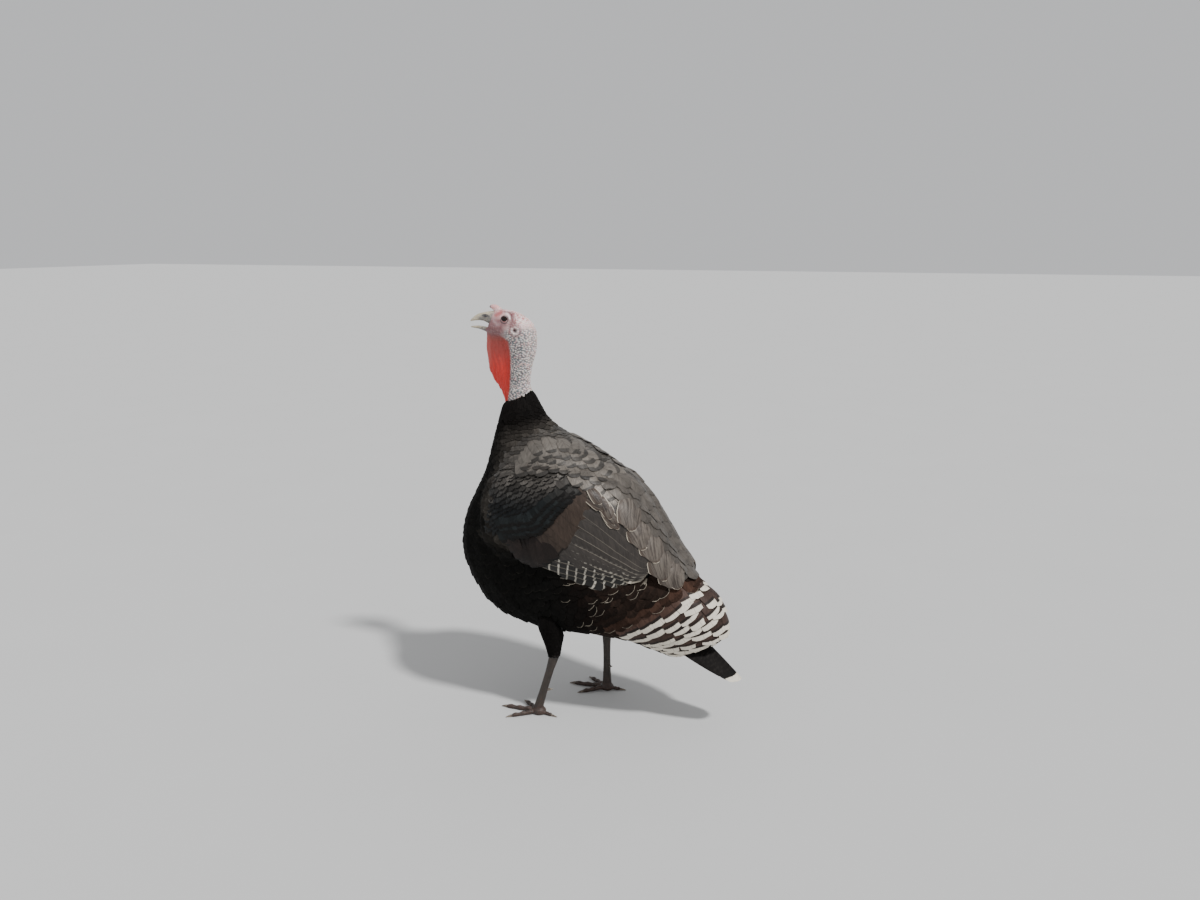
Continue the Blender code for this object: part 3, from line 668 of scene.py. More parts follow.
def growBody():
    ring, angle = bodyRows()
    roots = onGrid(ring, angle)
    ways = unit(onGrid(ring + 0.02, angle) - onGrid(ring - 0.005, angle))
    weights = bodyWeights(roots, ring, angle)
    downwards = unit(onGrid(ring, angle + 0.01) - onGrid(ring, angle - 0.01))
    downwards *= np.where((angle % 1) < 0.5, 1, -1)[:, None]
    splay = body["splay"] * np.abs(np.sin(2 * np.pi * angle)) * smoothStep(0.54, 0.66, ring)
    ways = unit(ways + downwards * splay[:, None])
    spread = chance.normal(1, 0.06, len(ring))
    sidewards = unit(np.cross(ways, chance.normal(0, 1, (len(ring), 3))))
    ways = unit(ways + sidewards * 0.07)
    longs = mixed(weights, "long")[:, 0]
    keep = np.array([not underWing(*pair) for pair in zip(roots, roots + ways * longs[:, None] * 0.6)])
    parts = (roots, ways, weights, longs * spread, ring, angle)
    roots, ways, weights, longs, ring, angle = (part[keep] for part in parts)
    count = len(roots)
    laid = layRows(wholeTree, roots, ways, longs, mixed(weights, "deep")[:, 0], mixed(weights, "lift")[:, 0])
    shade = chance.normal(1, 0.13, (count, 1)).clip(0.6, 1.5)
    rearmost = weights[:, 5:6] * smoothStep(0.06, -0.08, -roots[:, 1:2])
    copper = 1 + rearmost * (0.9 + chance.exponential(0.5, (count, 1))) * np.array([[2.2, 1.75, 1.5]])
    tones = mixed(weights, "ground") * shade * copper
    grounds = np.concatenate([tones, chance.uniform(0, 1, (count, 1))], axis=1)
    likely = weights + chance.uniform(0, 0.35, weights.shape) * (weights > 0.05)
    marks = styleTable("marks")[np.argmax(likely, axis=1)]
    marks = marks * chance.uniform(0.75, 1.1, marks.shape)
    marks[:, 1] *= chance.uniform(0, 1, count) < body["fringed"]
    batch = {**laid, "widths": mixed(weights, "wide")[:, 0] * chance.normal(1, 0.05, count),
             "rolls": np.sign(0.5 - angle) * 0.06 + chance.normal(0, 0.02, count),
             "grounds": grounds, "marks": marks, "roots": unwrapOf(ring, angle)}
    kinds = np.array(list(bodyStyles))[np.argmax(weights, axis=1)]
    for name, (styles, shape, size, finish) in bodyPieces.items():
        chosen = np.isin(kinds, styles)
        growVanes(name, {key: value[chosen] for key, value in batch.items()}, shape, finish, size)


growBody()

wing = {  # lines across the folded wing that feather tips lie on, low end first: (forward, up)
    "front": [(0.212, 0.446), (0.198, 0.572)], "lesserEnd": [(0.105, 0.455), (0.028, 0.585)],
    "median": [(0.168, 0.436), (0.120, 0.446), (0.082, 0.458), (0.030, 0.512), (-0.010, 0.558)],
    "lowGreater": [(0.152, 0.428), (0.139, 0.404), (0.122, 0.385), (0.105, 0.376), (0.080, 0.384),
                   (0.052, 0.404)],
    "greater": [(0.030, 0.430), (0.006, 0.447), (-0.012, 0.470), (-0.022, 0.495), (-0.030, 0.520),
                (-0.036, 0.545)],
    "way": (-0.78, -0.62), "lowWay": (-0.26, -0.965),
}
lesser = {"rows": 13, "step": 0.0125, "low": (0.0095, 0.0110, 0.0120), "high": (0.080, 0.072, 0.064)}
median = {"rows": ((0.030, 0.044), (0.015, 0.046), (0.0, 0.050)), "count": 20, "wide": 0.025,
          "ground": (0.0095, 0.0120, 0.0125), "highAdds": (0.045, 0.036, 0.030)}
greater = {  # the greater coverts' two groups
    "lowGreater": {"count": 8, "way": "lowWay", "long": 0.078, "wide": 0.028,
                   "ground": (0.015, 0.0095, 0.0080), "bar": 1.0, "uneven": 0.16, "roll": 0.05},
    "greater": {"count": 8, "way": "way", "long": 0.100, "wide": 0.042, "ground": (0.043, 0.030, 0.023),
                "bar": 0.7, "uneven": 0.06, "roll": 0.03}}
secondaries = {"count": 10, "roots": [(0.072, 0.400), (0.004, 0.560)],
               "tips": [(-0.130, 0.360), (-0.164, 0.402)],
               "base": 0.0020, "lift": 0.0040, "wide": 0.042, "crowd": 1.4, "bow": 0.010,
               "ground": (0.036, 0.030, 0.026), "dashes": [0.9, 0.8, 0.7, 0.5, 0.3, 0.12, 0, 0, 0, 0]}
primaries = {"count": 4, "roots": [(0.110, 0.372), (0.070, 0.412)],
             "tips": [(-0.060, 0.336), (-0.124, 0.360)],
             "base": 0.0, "lift": 0.0016, "wide": 0.030, "crowd": 1.0, "bow": 0.012,
             "ground": (0.010, 0.009, 0.008)}
tertials = {"tips": [(-0.108, 0.469), (-0.134, 0.430), (-0.159, 0.399), (-0.181, 0.362), (-0.204, 0.338)],
            "way": (-0.27, -0.963), "long": 0.095, "wide": 0.070, "lift": 0.0080, "step": 0.0004,
            "ground": (0.078, 0.063, 0.052)}
# narrow fringed feathers where the greater coverts meet the tertials
fringed = {"tips": [(-0.082, 0.476), (-0.075, 0.487), (-0.067, 0.498), (-0.059, 0.508), (-0.051, 0.518),
                    (-0.043, 0.528)],
           "way": (-0.66, -0.75), "long": 0.052, "wide": 0.026, "lift": 0.0084,
           "ground": (0.040, 0.031, 0.026)}


def alongLine(points, share):  # places on a line of points, by share of its length
    points = np.array(points, float)
    run = runAlong(points)
    return np.stack([np.interp(np.asarray(share) * run[-1], run, points[:, i]) for i in range(2)], axis=-1)


def layFromSide(side, tracks, lifts):  # tracks are places (forward, up) seen from the side, set on the form
    def find(aim):  # looks at the bird from its own side
        hit = wholeTree.ray_cast(at(side * 0.4, aim.x, aim.y), Vector((-side, 0, 0)))
        return hit if hit[0] else wholeTree.find_nearest(at(side * 0.05, aim.x, aim.y))

    return laidOn(find, np.concatenate([tracks, tracks[..., :1] * 0], axis=-1), lifts)


def quillBatch(laid, widths, ground, marks, uneven=0.12, roll=0.03):
    count = len(laid["paths"])
    shades = np.array(ground)[None] * chance.normal(1, uneven, (count, 1)).clip(0.6, 1.5)
    return {**laid, "widths": widths * chance.normal(1, 0.03, count),
            "rolls": np.sign(laid["paths"][:, -1, 0]) * roll + chance.normal(0, 0.2 * roll + 0.002, count),
            "grounds": np.concatenate([shades, chance.uniform(0, 1, (count, 1))], axis=1),
            "marks": np.array(marks)[None] * chance.uniform(0.85, 1.1, (count, 4)),
            "roots": unwrapAt(laid["paths"][:, 0])}


def joined(batches):
    return {key: np.concatenate([batch[key] for batch in batches]) for key in batches[0]}


def straightTracks(tips, ways, longs, steps=3):
    shares = np.linspace(0, 1, steps)[None, :, None]
    return (tips - ways * np.reshape(longs, (-1, 1)))[:, None] * (1 - shares) + tips[:, None] * shares


def slopes(count, *lifts):
    return np.tile(lifts, (count, 1))


def varied(way, count, uneven):  # nearly the same way for every feather
    return unit(np.array(way)[None] + chance.normal(0, uneven, (count, 2)))


def lesserCoverts(side):
    batches = []
    for row in range(lesser["rows"]):
        share = row / (lesser["rows"] - 1)
        line = between(wing["front"], wing["lesserEnd"], share)
        count = int(np.linalg.norm(line[1] - line[0]) / lesser["step"])
        spots = (np.arange(count + 1) + 0.5 * (row % 2)) / count + chance.normal(0, 0.006, count + 1)
        tips = alongLine(line, spots) + chance.normal(0, 0.0010, (count + 1, 2))
        tracks = straightTracks(tips, varied(wing["way"], count + 1, 0.05), 0.036 + 0.010 * share)
        laid = layFromSide(side, tracks, slopes(count + 1, -0.0055, -0.0008, 0.0016))
        batch = quillBatch(laid, 0.022 + 0.003 * share, (1, 1, 1), (1, 0, 0, 0), 0.32, 0.05)
        high = smoothStep(0.500, 0.590, tips[:, 1])[:, None]
        batch["grounds"][:, :3] *= between(lesser["low"], lesser["high"], high)
        batches.append(batch)
    return joined(batches)


def medianCoverts(side):
    batches = []
    count = median["count"]
    for row, (shift, long) in enumerate(median["rows"]):
        spots = np.linspace(0.0, 1.0, count) + 0.025 * (row % 2)
        # from the steep low feathers to the slanting upper ones
        ways = unit(between(wing["lowWay"], wing["way"], smoothStep(0.25, 0.60, spots)[:, None]))
        tips = alongLine(wing["median"], spots) - ways * (shift + chance.normal(0, 0.0022, count))[:, None]
        laid = layFromSide(side, straightTracks(tips, ways, long), slopes(count, -0.005, 0.0014, 0.0030))
        batch = quillBatch(laid, median["wide"], median["ground"], (1, 0, 0, 0), 0.38, 0.06)
        batch["grounds"][:, :3] += np.array(median["highAdds"]) * smoothStep(0.52, 0.58, tips[:, 1])[:, None]
        batches.append(batch)
    return joined(batches)


def greaterCoverts(side):
    batches = []
    for line, group in greater.items():
        count = group["count"]
        tips = alongLine(wing[line], np.linspace(0, 1, count))
        rise = slopes(count, -0.008, 0.0008, 0.0022) + np.linspace(0.0, 0.0016, count)[:, None]
        tracks = straightTracks(tips, unit(np.array([wing[group["way"]]])), group["long"])
        marks = (group["bar"], 0, 0, 0)
        laid = layFromSide(side, tracks, rise)
        batches.append(quillBatch(laid, group["wide"], group["ground"], marks, group["uneven"],
                                  group["roll"]))
    return joined(batches)


def drawnTogether(side, quills):  # long quills whose tips draw together
    count = quills["count"]
    shares = np.linspace(0, 1, count) ** quills["crowd"]
    roots, tips = alongLine(quills["roots"], shares), alongLine(quills["tips"], shares)
    way = unit(tips - roots)
    aside = np.stack([way[:, 1], -way[:, 0]], axis=1)
    steps = np.linspace(0, 1, 5)[None, :, None]
    bow = aside[:, None] * quills["bow"] * np.sin(np.pi * steps)
    tracks = roots[:, None] * (1 - steps) + tips[:, None] * steps + bow
    lifts = slopes(count, -0.0060, -0.0010, 0.0008, 0.0012, 0.0010)
    return layFromSide(side, tracks, lifts + quills["base"] + np.linspace(0, quills["lift"], count)[:, None])


def secondaryQuills(side):
    laid = drawnTogether(side, secondaries)
    batch = quillBatch(laid, secondaries["wide"], secondaries["ground"], (0, 0.6, 0, 0.8), 0.06, 0.03)
    batch["marks"][:, 1] *= np.linspace(1, 0.1, secondaries["count"])
    batch["marks"][:, 3] *= secondaries["dashes"]
    return batch


def primaryQuills(side):
    laid = drawnTogether(side, primaries)
    # level, so that none folds into the flank
    laid["normals"] = unit(laid["normals"] * 0.35 + np.array([side, 0, 0]))
    laid["paths"] = laid["paths"] + laid["normals"] * (laid["lifts"] + 0.0008)[:, :, None]
    return quillBatch(laid, primaries["wide"], primaries["ground"], (0, 0.22, 0, 0.60), 0.1, 0.02)


def tertialQuills(side):
    tips = np.array(tertials["tips"])
    tracks = straightTracks(tips, unit(np.array([tertials["way"]])), tertials["long"], 4)
    lifts = tertials["lift"] - np.arange(len(tips))[:, None] * tertials["step"]
    laid = layFromSide(side, tracks, lifts + slopes(1, -0.008, -0.003, 0, 0))
    large = quillBatch(laid, tertials["wide"], tertials["ground"], (0, 0.9, 0, 0), 0.06, 0.045)
    tips = np.array(fringed["tips"])
    tracks = straightTracks(tips, varied(fringed["way"], len(tips), 0.12), fringed["long"], 4)
    laid = layFromSide(side, tracks, fringed["lift"] + slopes(len(tips), -0.010, -0.002, 0, 0))
    return joined([large, quillBatch(laid, fringed["wide"], fringed["ground"], (0, 0.7, 0, 0), 0.1, 0.08)])


wingPieces = {  # how it grows, shape, vane, nodes, and its finish's settings
    "wing_lesser": (lesserCoverts, flatTipped, "small", "coverts", (0.48, 0.10, 0.12), {"darkBar": 0.0035}),
    "wing_median": (medianCoverts, flatTipped, "broad", "coverts", (0.45, 0.12, 0.16), {"darkBar": 0.0085}),
    "wing_greater": (greaterCoverts, broadTipped, "broad", "coverts", (0.45, 0.15, 0.22), {"darkBar": 0.004}),
    "wing_secondaries": (secondaryQuills, longQuill, "long", "flights", (0.45, 0.08, 0.35),
                         {"barred": 0.0125, "barFrom": 0.22, "barReach": 0.006, "fringeReach": 0.5}),
    "wing_primaries": (primaryQuills, longQuill, "long", "flights", (0.45, 0.08, 0.35),
                       {"barred": 0.021, "barFrom": 0.37, "fringe": 0.0020, "fringeReach": 0.5}),
    "wing_tertial": (tertialQuills, broadQuill, "long", "tertials", (0.45, 0.08, 0.35),
                     {"fringe": 0.0018, "fringeReach": 0.075, "rays": True}),
}


def growWings():
    grown = {side: {name: how[0](turn) for name, how in wingPieces.items()} for side, turn in sides.items()}
    for name, (_, shape, size, nodes, look, marks) in wingPieces.items():
        batch = joined([grown[side][name] for side in sides])
        tree = None if name == "wing_primaries" else wholeTree
        replaced = [f"wing_{nodes}_{side}" for side in sides]
        growVanes(name, batch, shape, plumageMaterial(name, *look, **marks), size, tree, replaced)


growWings()

# the tail's fan, the same curve as the solid's: root and tip of its middle line, half widths and drops
fan = {"root": (-0.1559, 0.272), "tip": (-0.3399, 0.120), "halves": (0.034, 0.056), "drops": (0.024, 0.040),
       "shorter": 0.122, "feathers": 13, "wide": 0.050, "bow": 0.006, "steps": 5, "reach": 0.60,
       "ground": (0.0060, 0.0046, 0.0040), "across": 61, "along": 24}


def fanPlace(place, along):
    across = place * fan["reach"]
    root, tip = at(0, *fan["root"]), at(0, *fan["tip"])
    axis = tip - root
    outwards = Vector((1, 0, 0)).cross(axis).normalized()
    length = (1 - fan["shorter"] / axis.length * abs(place * 0.93) ** 1.6) * along
    half, drop = (fan[key][0] * (1 - along) + fan[key][1] * along for key in ("halves", "drops"))
    aside = half * math.sin(across * math.pi / 2 * 0.94)
    rise = fan["bow"] * math.sin(math.pi * along) - drop * abs(across) ** 1.2
    return root + axis * length + outwards * rise + Vector((aside, 0, 0))


def fanTree():
    row, rows = fan["across"], fan["along"]
    wide, deep = np.linspace(-1.35, 1.35, row), np.linspace(-0.05, 1.10, rows)
    places = [fanPlace(across, along) for along in deep for across in wide]
    starts = [row * j + i for j in range(rows - 1) for i in range(row - 1)]
    corners = [(start, start + 1, start + row + 1, start + row) for start in starts]
    tree = BVHTree.FromPolygons(places, corners)
    if tree.find_nearest(fanPlace(0, 0.5))[1].z < 0:
        tree = BVHTree.FromPolygons(places, [corner[::-1] for corner in corners])
    return tree


def growTail():
    count, steps = fan["feathers"], fan["steps"]
    paths, normals = np.empty((count, steps, 3)), np.empty((count, steps, 3))
    spots = np.linspace(-1, 1, count)
    for i, across in enumerate(spots):
        for k, along in enumerate(np.linspace(0.04, 1, steps)):
            paths[i, k] = fanPlace(across, along)
            beside = fanPlace(across + 0.01, along) - fanPlace(across - 0.01, along)
            ahead = fanPlace(across, along + 0.01) - fanPlace(across, along - 0.01)
            normals[i, k] = beside.cross(ahead).normalized()
    lifts = np.tile(0.0034 - 0.0030 * np.abs(spots)[:, None], (1, steps))
    laid = {"paths": paths, "normals": unit(normals), "lifts": lifts}
    batch = quillBatch(laid, fan["wide"], fan["ground"], (0.9, 0.0, 1.2, 0.006), 0.05, 0.012)
    # only the middle and outermost tips show much white
    batch["marks"][:, 2] *= np.where((np.abs(spots) < 0.30) | (np.abs(spots) > 0.85), 1.0, 0.12)
    finish = plumageMaterial("tail quills", 0.6, 0.0, 0.10, barred=0.011)
    growVanes("tail_quills", batch, tailQuill, finish, "long", fanTree(), ["tail"])


growTail()

# broad scapulars over the shoulder, each row's tips on a line seen from the side
scapulars = {"low": [(0.128, 0.580), (0.030, 0.588), (-0.090, 0.500)], "way": (-0.66, -0.75),
             "high": [(0.104, 0.622), (0.000, 0.628), (-0.120, 0.522)], "rows": 12, "across": 5,
             "long": 0.060, "wide": 0.034,
             "front": (0.118, 0.105, 0.091), "rear": (0.150, 0.130, 0.109)}


def growScapulars():
    batches = []
    rows, count = scapulars["rows"], scapulars["across"]
    for side, row in [(side, row) for side in sides.values() for row in range(rows)]:
        share = row / (rows - 1)
        ends = [alongLine(scapulars[end], share) for end in ("low", "high")]
        tips = alongLine(ends, np.linspace(0, 1, count) + 0.1 * (row % 2))
        tips = tips + chance.normal(0, 0.0015, (count, 2))
        tracks = straightTracks(tips, varied(scapulars["way"], count, 0.05), scapulars["long"])
        laid = layFromSide(side, tracks, slopes(count, -0.007, 0.0015, 0.0034) + 0.0002 * (rows - row))
        ground = between(scapulars["front"], scapulars["rear"], share)
        batches.append(quillBatch(laid, scapulars["wide"], ground, (0.75, 0, 0, 0), 0.14, 0.06))
    return joined(batches)


# long smooth feathers that cover the back between the wings: down the back's line,
# each row a little farther out
ridge = {"line": [(-0.020, 0.580), (-0.070, 0.545), (-0.120, 0.500), (-0.160, 0.445), (-0.200, 0.385),
                  (-0.232, 0.345)],
         "asides": [0.012, 0.032, 0.052, 0.068], "rows": 7, "reach": 0.28, "wide": 0.040,
         "from": (0.10, -0.14), "ground": (0.090, 0.078, 0.066), "lifts": (-0.006, 0.0020, 0.0060, 0.0075)}


def growRidge():
    backForward, backUp = ridge["from"]

    def find(start):  # looks down on the back from above and behind
        hit = wholeTree.ray_cast(start, at(0, backForward, backUp).normalized())
        return hit if hit[0] else wholeTree.find_nearest(start + at(0, backForward, backUp))

    batches = []
    columns = [(side, *pair) for side in sides.values() for pair in enumerate(ridge["asides"])]
    for side, column, aside in columns:
        shares = np.linspace(0.30, 1.0, ridge["rows"]) - 0.06 * (column % 2) - 0.03 * column
        steps = np.linspace(0, 1, 4)[None, :, None]
        roots, tips = (alongLine(ridge["line"], ends)[:, None] for ends in (shares - ridge["reach"], shares))
        forwardUp = roots * (1 - steps) + tips * steps
        beside = side * aside * (1 - 0.35 * smoothStep(0.5, 1.0, shares))[:, None]
        forward, up = forwardUp[..., 0], forwardUp[..., 1]
        starts = np.stack([beside + 0 * up, backForward - forward, up - backUp], axis=-1)
        lifts = slopes(len(shares), *ridge["lifts"]) + 0.0006 * (3 - column)
        laid = laidOn(find, starts, lifts - 0.0003 * np.arange(len(shares))[:, None])
        batches.append(quillBatch(laid, ridge["wide"], ridge["ground"], (0.15, 0, 0, 0), 0.10, 0.03))
    return joined(batches)


growVanes("scapular_feathers", growScapulars(), contour, bodyFinish, "broad")
growVanes("back_feathers", growRidge(), roundTipped, bodyFinish, "broad")

# small feathers that climb the neck's foot, higher behind than in front
collar = {"middle": 0.192, "girth": 0.165, "low": 0.7315, "high": 0.7570, "rows": 5, "gap": 0.0058,
          "step": 0.0080, "long": 0.030, "wide": 0.0140, "away": math.radians(200),
          "ground": (0.007, 0.006, 0.0055), "lifts": (-0.0030, 0.0022, 0.0030)}


def growCollar():
    tree = treeOf("collar", trunkNodes + ["neck"])
    batches = []
    count = int(collar["girth"] / collar["step"])
    for row in range(collar["rows"]):
        turns = (np.arange(count) + 0.5 * (row % 2)) / count * 2 * np.pi + chance.normal(0, 0.03, count)
        behind = (0.5 + 0.5 * np.cos(turns - collar["away"])) ** 1.3
        tops = collar["low"] + (collar["high"] - collar["low"]) * behind - row * collar["gap"]
        tops += chance.normal(0, 0.0006, count)
        aims = []
        for turn, top in zip(turns, tops):
            outwards = at(math.sin(turn), math.cos(turn), 0)
            root = tree.ray_cast(at(0, collar["middle"], top) + outwards * 0.12, -outwards)[0]
            way = (outwards * 0.30 + Vector((0, 0, -1))).normalized()
            aims.append([tuple(root + way * collar["long"] * share) for share in (0, 0.5, 1)])
        laid = laidOn(tree.find_nearest, np.array(aims), slopes(count, *collar["lifts"]))
        laid["paths"] = laid["paths"] + laid["normals"] * laid["lifts"][..., None]
        batches.append(quillBatch(laid, collar["wide"], collar["ground"], (0, 0, 0, 0), 0.15, 0.06))
    return joined(batches)


growVanes("collar_feathers", growCollar(), softContour, softFinish, tree=None)

thigh = {"foot": 0.1635, "rows": 16, "gap": 0.0075, "wide": 0.0150, "long": 0.034, "step": 0.0085,
         "side": 0.086, "slices": (0, 0.015, 0.045, 0.060, 0.080, 0.100, 0.120), "shankTop": 0.014,
         "ground": (0.0055, 0.0048, 0.0045)}


def boxMiddle(corners):
    return (corners.min(axis=0) + corners.max(axis=0)) / 2


def thighLine(side):  # middles of slices up the thigh, and the knuckle where the shank's top meets it
    thighCorners = pointsOf(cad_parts[f"thigh_{side}"].data)
    shankCorners = pointsOf(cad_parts[f"shank_{side}"].data)
    rise = thighCorners[:, 2] - thighCorners[:, 2].min()
    slices = zip(thigh["slices"][:-1], thigh["slices"][1:])
    line = np.array([boxMiddle(thighCorners[(rise >= low) & (rise <= high)]) for low, high in slices])
    return line, boxMiddle(shankCorners[shankCorners[:, 2] > shankCorners[:, 2].max() - thigh["shankTop"]])


def thighLoop(middle):  # places round the thigh, seen from outside and not from across the other thigh
    loop = []
    for turn in np.linspace(0, 2 * math.pi, 49)[:-1]:
        way = Vector((math.sin(turn), math.cos(turn), 0))
        spot = thighTree.ray_cast(middle + way * 0.055, -way)[0]
        if spot is not None and (spot - middle).length < 0.054:
            loop.append(spot)
    return loop


def growThighs():
    batches = []
    for side, turn in sides.items():
        line, knuckle = thighLine(side)
        starts = []
        for row in range(thigh["rows"]):
            up = thigh["foot"] + row * thigh["gap"]
            depth = float(np.interp(up, line[:, 2], line[:, 1]))
            loop = thighLoop(Vector((turn * thigh["side"], depth, up)))
            length = sum((loop[i] - loop[i - 1]).length for i in range(len(loop)))
            count = max(int(length / thigh["step"]), 7)
            if loop:
                spots = [int((i + 0.5 * (row % 2)) / count * len(loop)) for i in range(count)]
                starts += [loop[spot % len(loop)] for spot in spots]
        starts = np.array(starts)
        count = len(starts)
        ways = unit(unit(knuckle - line[2])[None] + chance.normal(0, 0.06, (count, 3)))
        longs = thigh["long"] * np.clip(0.42 + (starts[:, 2] - thigh["foot"]) * 9, 0.42, 1)
        laid = layRows(thighTree, starts, ways, longs, np.full(count, -0.005), np.full(count, 0.0012))
        batches.append(quillBatch(laid, thigh["wide"], thigh["ground"], (0, 0, 0, 0), 0.15, 0.05))
    return joined(batches)


growVanes("feathers_thighs", growThighs(), thighContour, softFinish, "small", thighTree, replaced=thighNodes)

# the skin: one closed surface over body, neck, head, legs and feet
headTurn = {"yaw": math.radians(15), "axis": 0.1891, "shift": 0.0441, "foot": 0.74, "top": 0.86}
eye = {"side": 0.0192, "forward": 0.1780, "up": 0.9155, "radius": 0.0088, "socketGap": 0.00008,
       "inset": 0.00004}
skin = {"headGrain": 0.0013, "legGrain": 0.0016, "bodyGrain": 0.0055, "inset": 0.0085, "ruffInset": 0.0055,
        "ruffUp": 0.63, "shankInset": 0.004, "shankUp": 0.185, "scute": 0.0062, "underShade": 0.6,
        "wingShade": 0.2, "wingReach": 0.035, "hornGround": (0.034, 0.026, 0.020),
        "toeGround": (0.055, 0.035, 0.027)}
neckPlug = {"top": (0, 0.192, 0.760), "foot": (0, 0.178, 0.676), "radius": 0.0195}
hock = {"rise": 0.0015, "radius": 0.0126, "scale": (0.96, 1.06, 0.95), "plug": 0.0115}


def toLocal(points):  # undoes the neck's twist: side, forward, up in the head's own frame
    share = np.clip((points[:, 2] - headTurn["foot"]) / (headTurn["top"] - headTurn["foot"]), 0, 1)
    angle = -headTurn["yaw"] * share
    x, y = points[:, 0], points[:, 1] + headTurn["axis"]
    turnedX = x * np.cos(angle) - y * np.sin(angle)
    turnedY = x * np.sin(angle) + y * np.cos(angle)
    return np.stack([turnedX, -turnedY + headTurn["axis"] - headTurn["shift"], points[:, 2]], axis=1)


def seenBeside(points):  # distance from the middle, forward, up, in the head's own frame
    local = toLocal(points)
    return np.abs(local[:, 0]), local[:, 1], local[:, 2]


def fromLocal(side, forward, up):  # a place in the head's own frame, after the head has turned
    turn = Matrix.Rotation(headTurn["yaw"], 3, "Z")
    turned = turn @ Vector((side, -(forward + headTurn["shift"]) + headTurn["axis"], up))
    return turned - Vector((0, headTurn["axis"], 0))


def eyePlace(turn):
    return fromLocal(turn * eye["side"], eye["forward"], eye["up"])


def eyeGaze(turn, ahead, above):
    return (fromLocal(turn, eye["forward"] + ahead, eye["up"] + above) - eyePlace(0)).normalized()


def applyPlace(scale=(1, 1, 1)):
    bpy.context.object.scale = scale
    bpy.ops.object.transform_apply(location=True, rotation=True, scale=True)
    return bpy.context.object


def ballAt(name, place, radius, scale=(1, 1, 1), segments=48):
    deselectAll()
    bpy.ops.mesh.primitive_uv_sphere_add(segments=segments, ring_count=segments // 2, radius=radius,
                                         location=place)
    bpy.context.object.name = name
    return applyPlace(scale)


def plugBetween(top, foot, radius):
    deselectAll()
    along = top - foot
    bpy.ops.mesh.primitive_cylinder_add(vertices=24, radius=radius, depth=along.length,
                                        location=(top + foot) / 2,
                                        rotation=along.to_track_quat("Z", "Y").to_euler())
    return applyPlace()


def joinInto(piece, others):
    makeActive(piece, others)
    bpy.ops.object.join()


def combine(piece, other, operation):
    applyModifier(piece, "BOOLEAN", operation=operation, object=other, solver="MANIFOLD")
    bpy.data.objects.remove(other)


def insetBody():
    flesh = copyOfNodes("flesh", trunkNodes + thighNodes, forms["swell"])
    remesh(flesh, skin["bodyGrain"], 8)
    places, up = pointsOf(flesh.data), pointsOf(flesh.data)[:, 2]
    depth = np.where(up > skin["ruffUp"], skin["ruffInset"], skin["inset"])
    depth = np.where(up < skin["shankUp"], skin["shankInset"], depth)
    setPoints(flesh.data, places - normalsOf(flesh.data) * depth[:, None])
    remesh(flesh, skin["bodyGrain"], 4)
    return flesh


# the lids: a ring over each eyeball, its profile in degrees from the eye's axis and
# millimetres over the ball
lidProfile = [(0.0, 0.12), (-1.2, 0.42), (1.0, 0.85), (6.0, 1.15), (14.0, 1.10), (24.0, 1.25), (36.0, 1.6),
              (36.0, 0.12), (24.0, 0.12), (12.0, 0.12)]
lids = {"half": 0.0074, "high": 0.0069, "tilt": math.radians(-8), "segments": 56, "almond": 0.13,
        "ahead": 0.10, "above": 0.04}


def lidRing(side):
    centre, outwards = eyePlace(side), eyeGaze(side, lids["ahead"], lids["above"])
    upward = outwards.cross((fromLocal(0, 1.0, 0) - fromLocal(0, 0, 0)).normalized()).normalized() * side
    ahead = upward.cross(outwards).normalized() * side
    count, steps = lids["segments"], len(lidProfile)
    shape = bmesh.new()
    corners = []
    for i in range(count):
        turn = 2 * math.pi * i / count
        c, s = math.cos(turn), math.sin(turn)
        reach = math.hypot(lids["half"] * c, lids["high"] * s * (1 - lids["almond"] * abs(c) ** 3))
        first = math.asin(min(reach / eye["radius"], 0.95))
        way = (ahead * math.cos(turn + lids["tilt"]) + upward * math.sin(turn + lids["tilt"])).normalized()
        for degrees, over in lidProfile:
            angle = first + math.radians(degrees)
            away = eye["radius"] + over / 1000
            towards = outwards * math.cos(angle) + way * math.sin(angle)
            corners.append(shape.verts.new(centre + towards * away))
    for i in range(count):
        here, after = i * steps, (i + 1) % count * steps
        for k in range(steps):
            m = (k + 1) % steps
            shape.faces.new([corners[spot] for spot in (here + k, here + m, after + m, after + k)])
    bmesh.ops.triangulate(shape, faces=shape.faces)
    bmesh.ops.recalc_face_normals(shape, faces=shape.faces)
    mesh = bpy.data.meshes.new("lids")
    shape.to_mesh(mesh)
    shape.free()
    return newPiece("lids", mesh)


def scattered(points, spacing, seed):  # points chosen so that none is nearer to another than the spacing
    taken, cells = [], {}
    around = [(x, y, z) for x in (-1, 0, 1) for y in (-1, 0, 1) for z in (-1, 0, 1)]
    for i in np.random.default_rng(seed).permutation(len(points)):
        cell = tuple((points[i] // spacing).astype(int))
        near = [taken[k] for step in around for k in cells.get(tuple(np.add(cell, step)), [])]
        if near and min(np.linalg.norm(points[i] - other) for other in near) < spacing:
            continue
        cells.setdefault(cell, []).append(len(taken))
        taken.append(points[i])
    return np.array(taken)


def bumps(points, spacing, seed, squash):  # 1 on top of each bump, 0 between; bumps are wider than tall
    flat = points * np.array([1, 1, squash])
    for axis in range(3):  # uneven outlines
        flat[:, axis] += spacing * 0.20 * waves(points, spacing * 1.1, seed + 50 + axis)
    centres = scattered(flat[::3], spacing, seed)
    tree = KDTree(len(centres))
    for i, centre in enumerate(centres):
        tree.insert(Vector(centre), i)
    tree.balance()
    found = [tree.find(Vector(point)) for point in flat]
    sizes = np.random.default_rng(seed + 1).uniform(0.48, 0.80, len(centres))[[spot[1] for spot in found]]
    return np.clip(1 - (np.array([spot[2] for spot in found]) / (sizes * spacing)) ** 2, 0, 1)


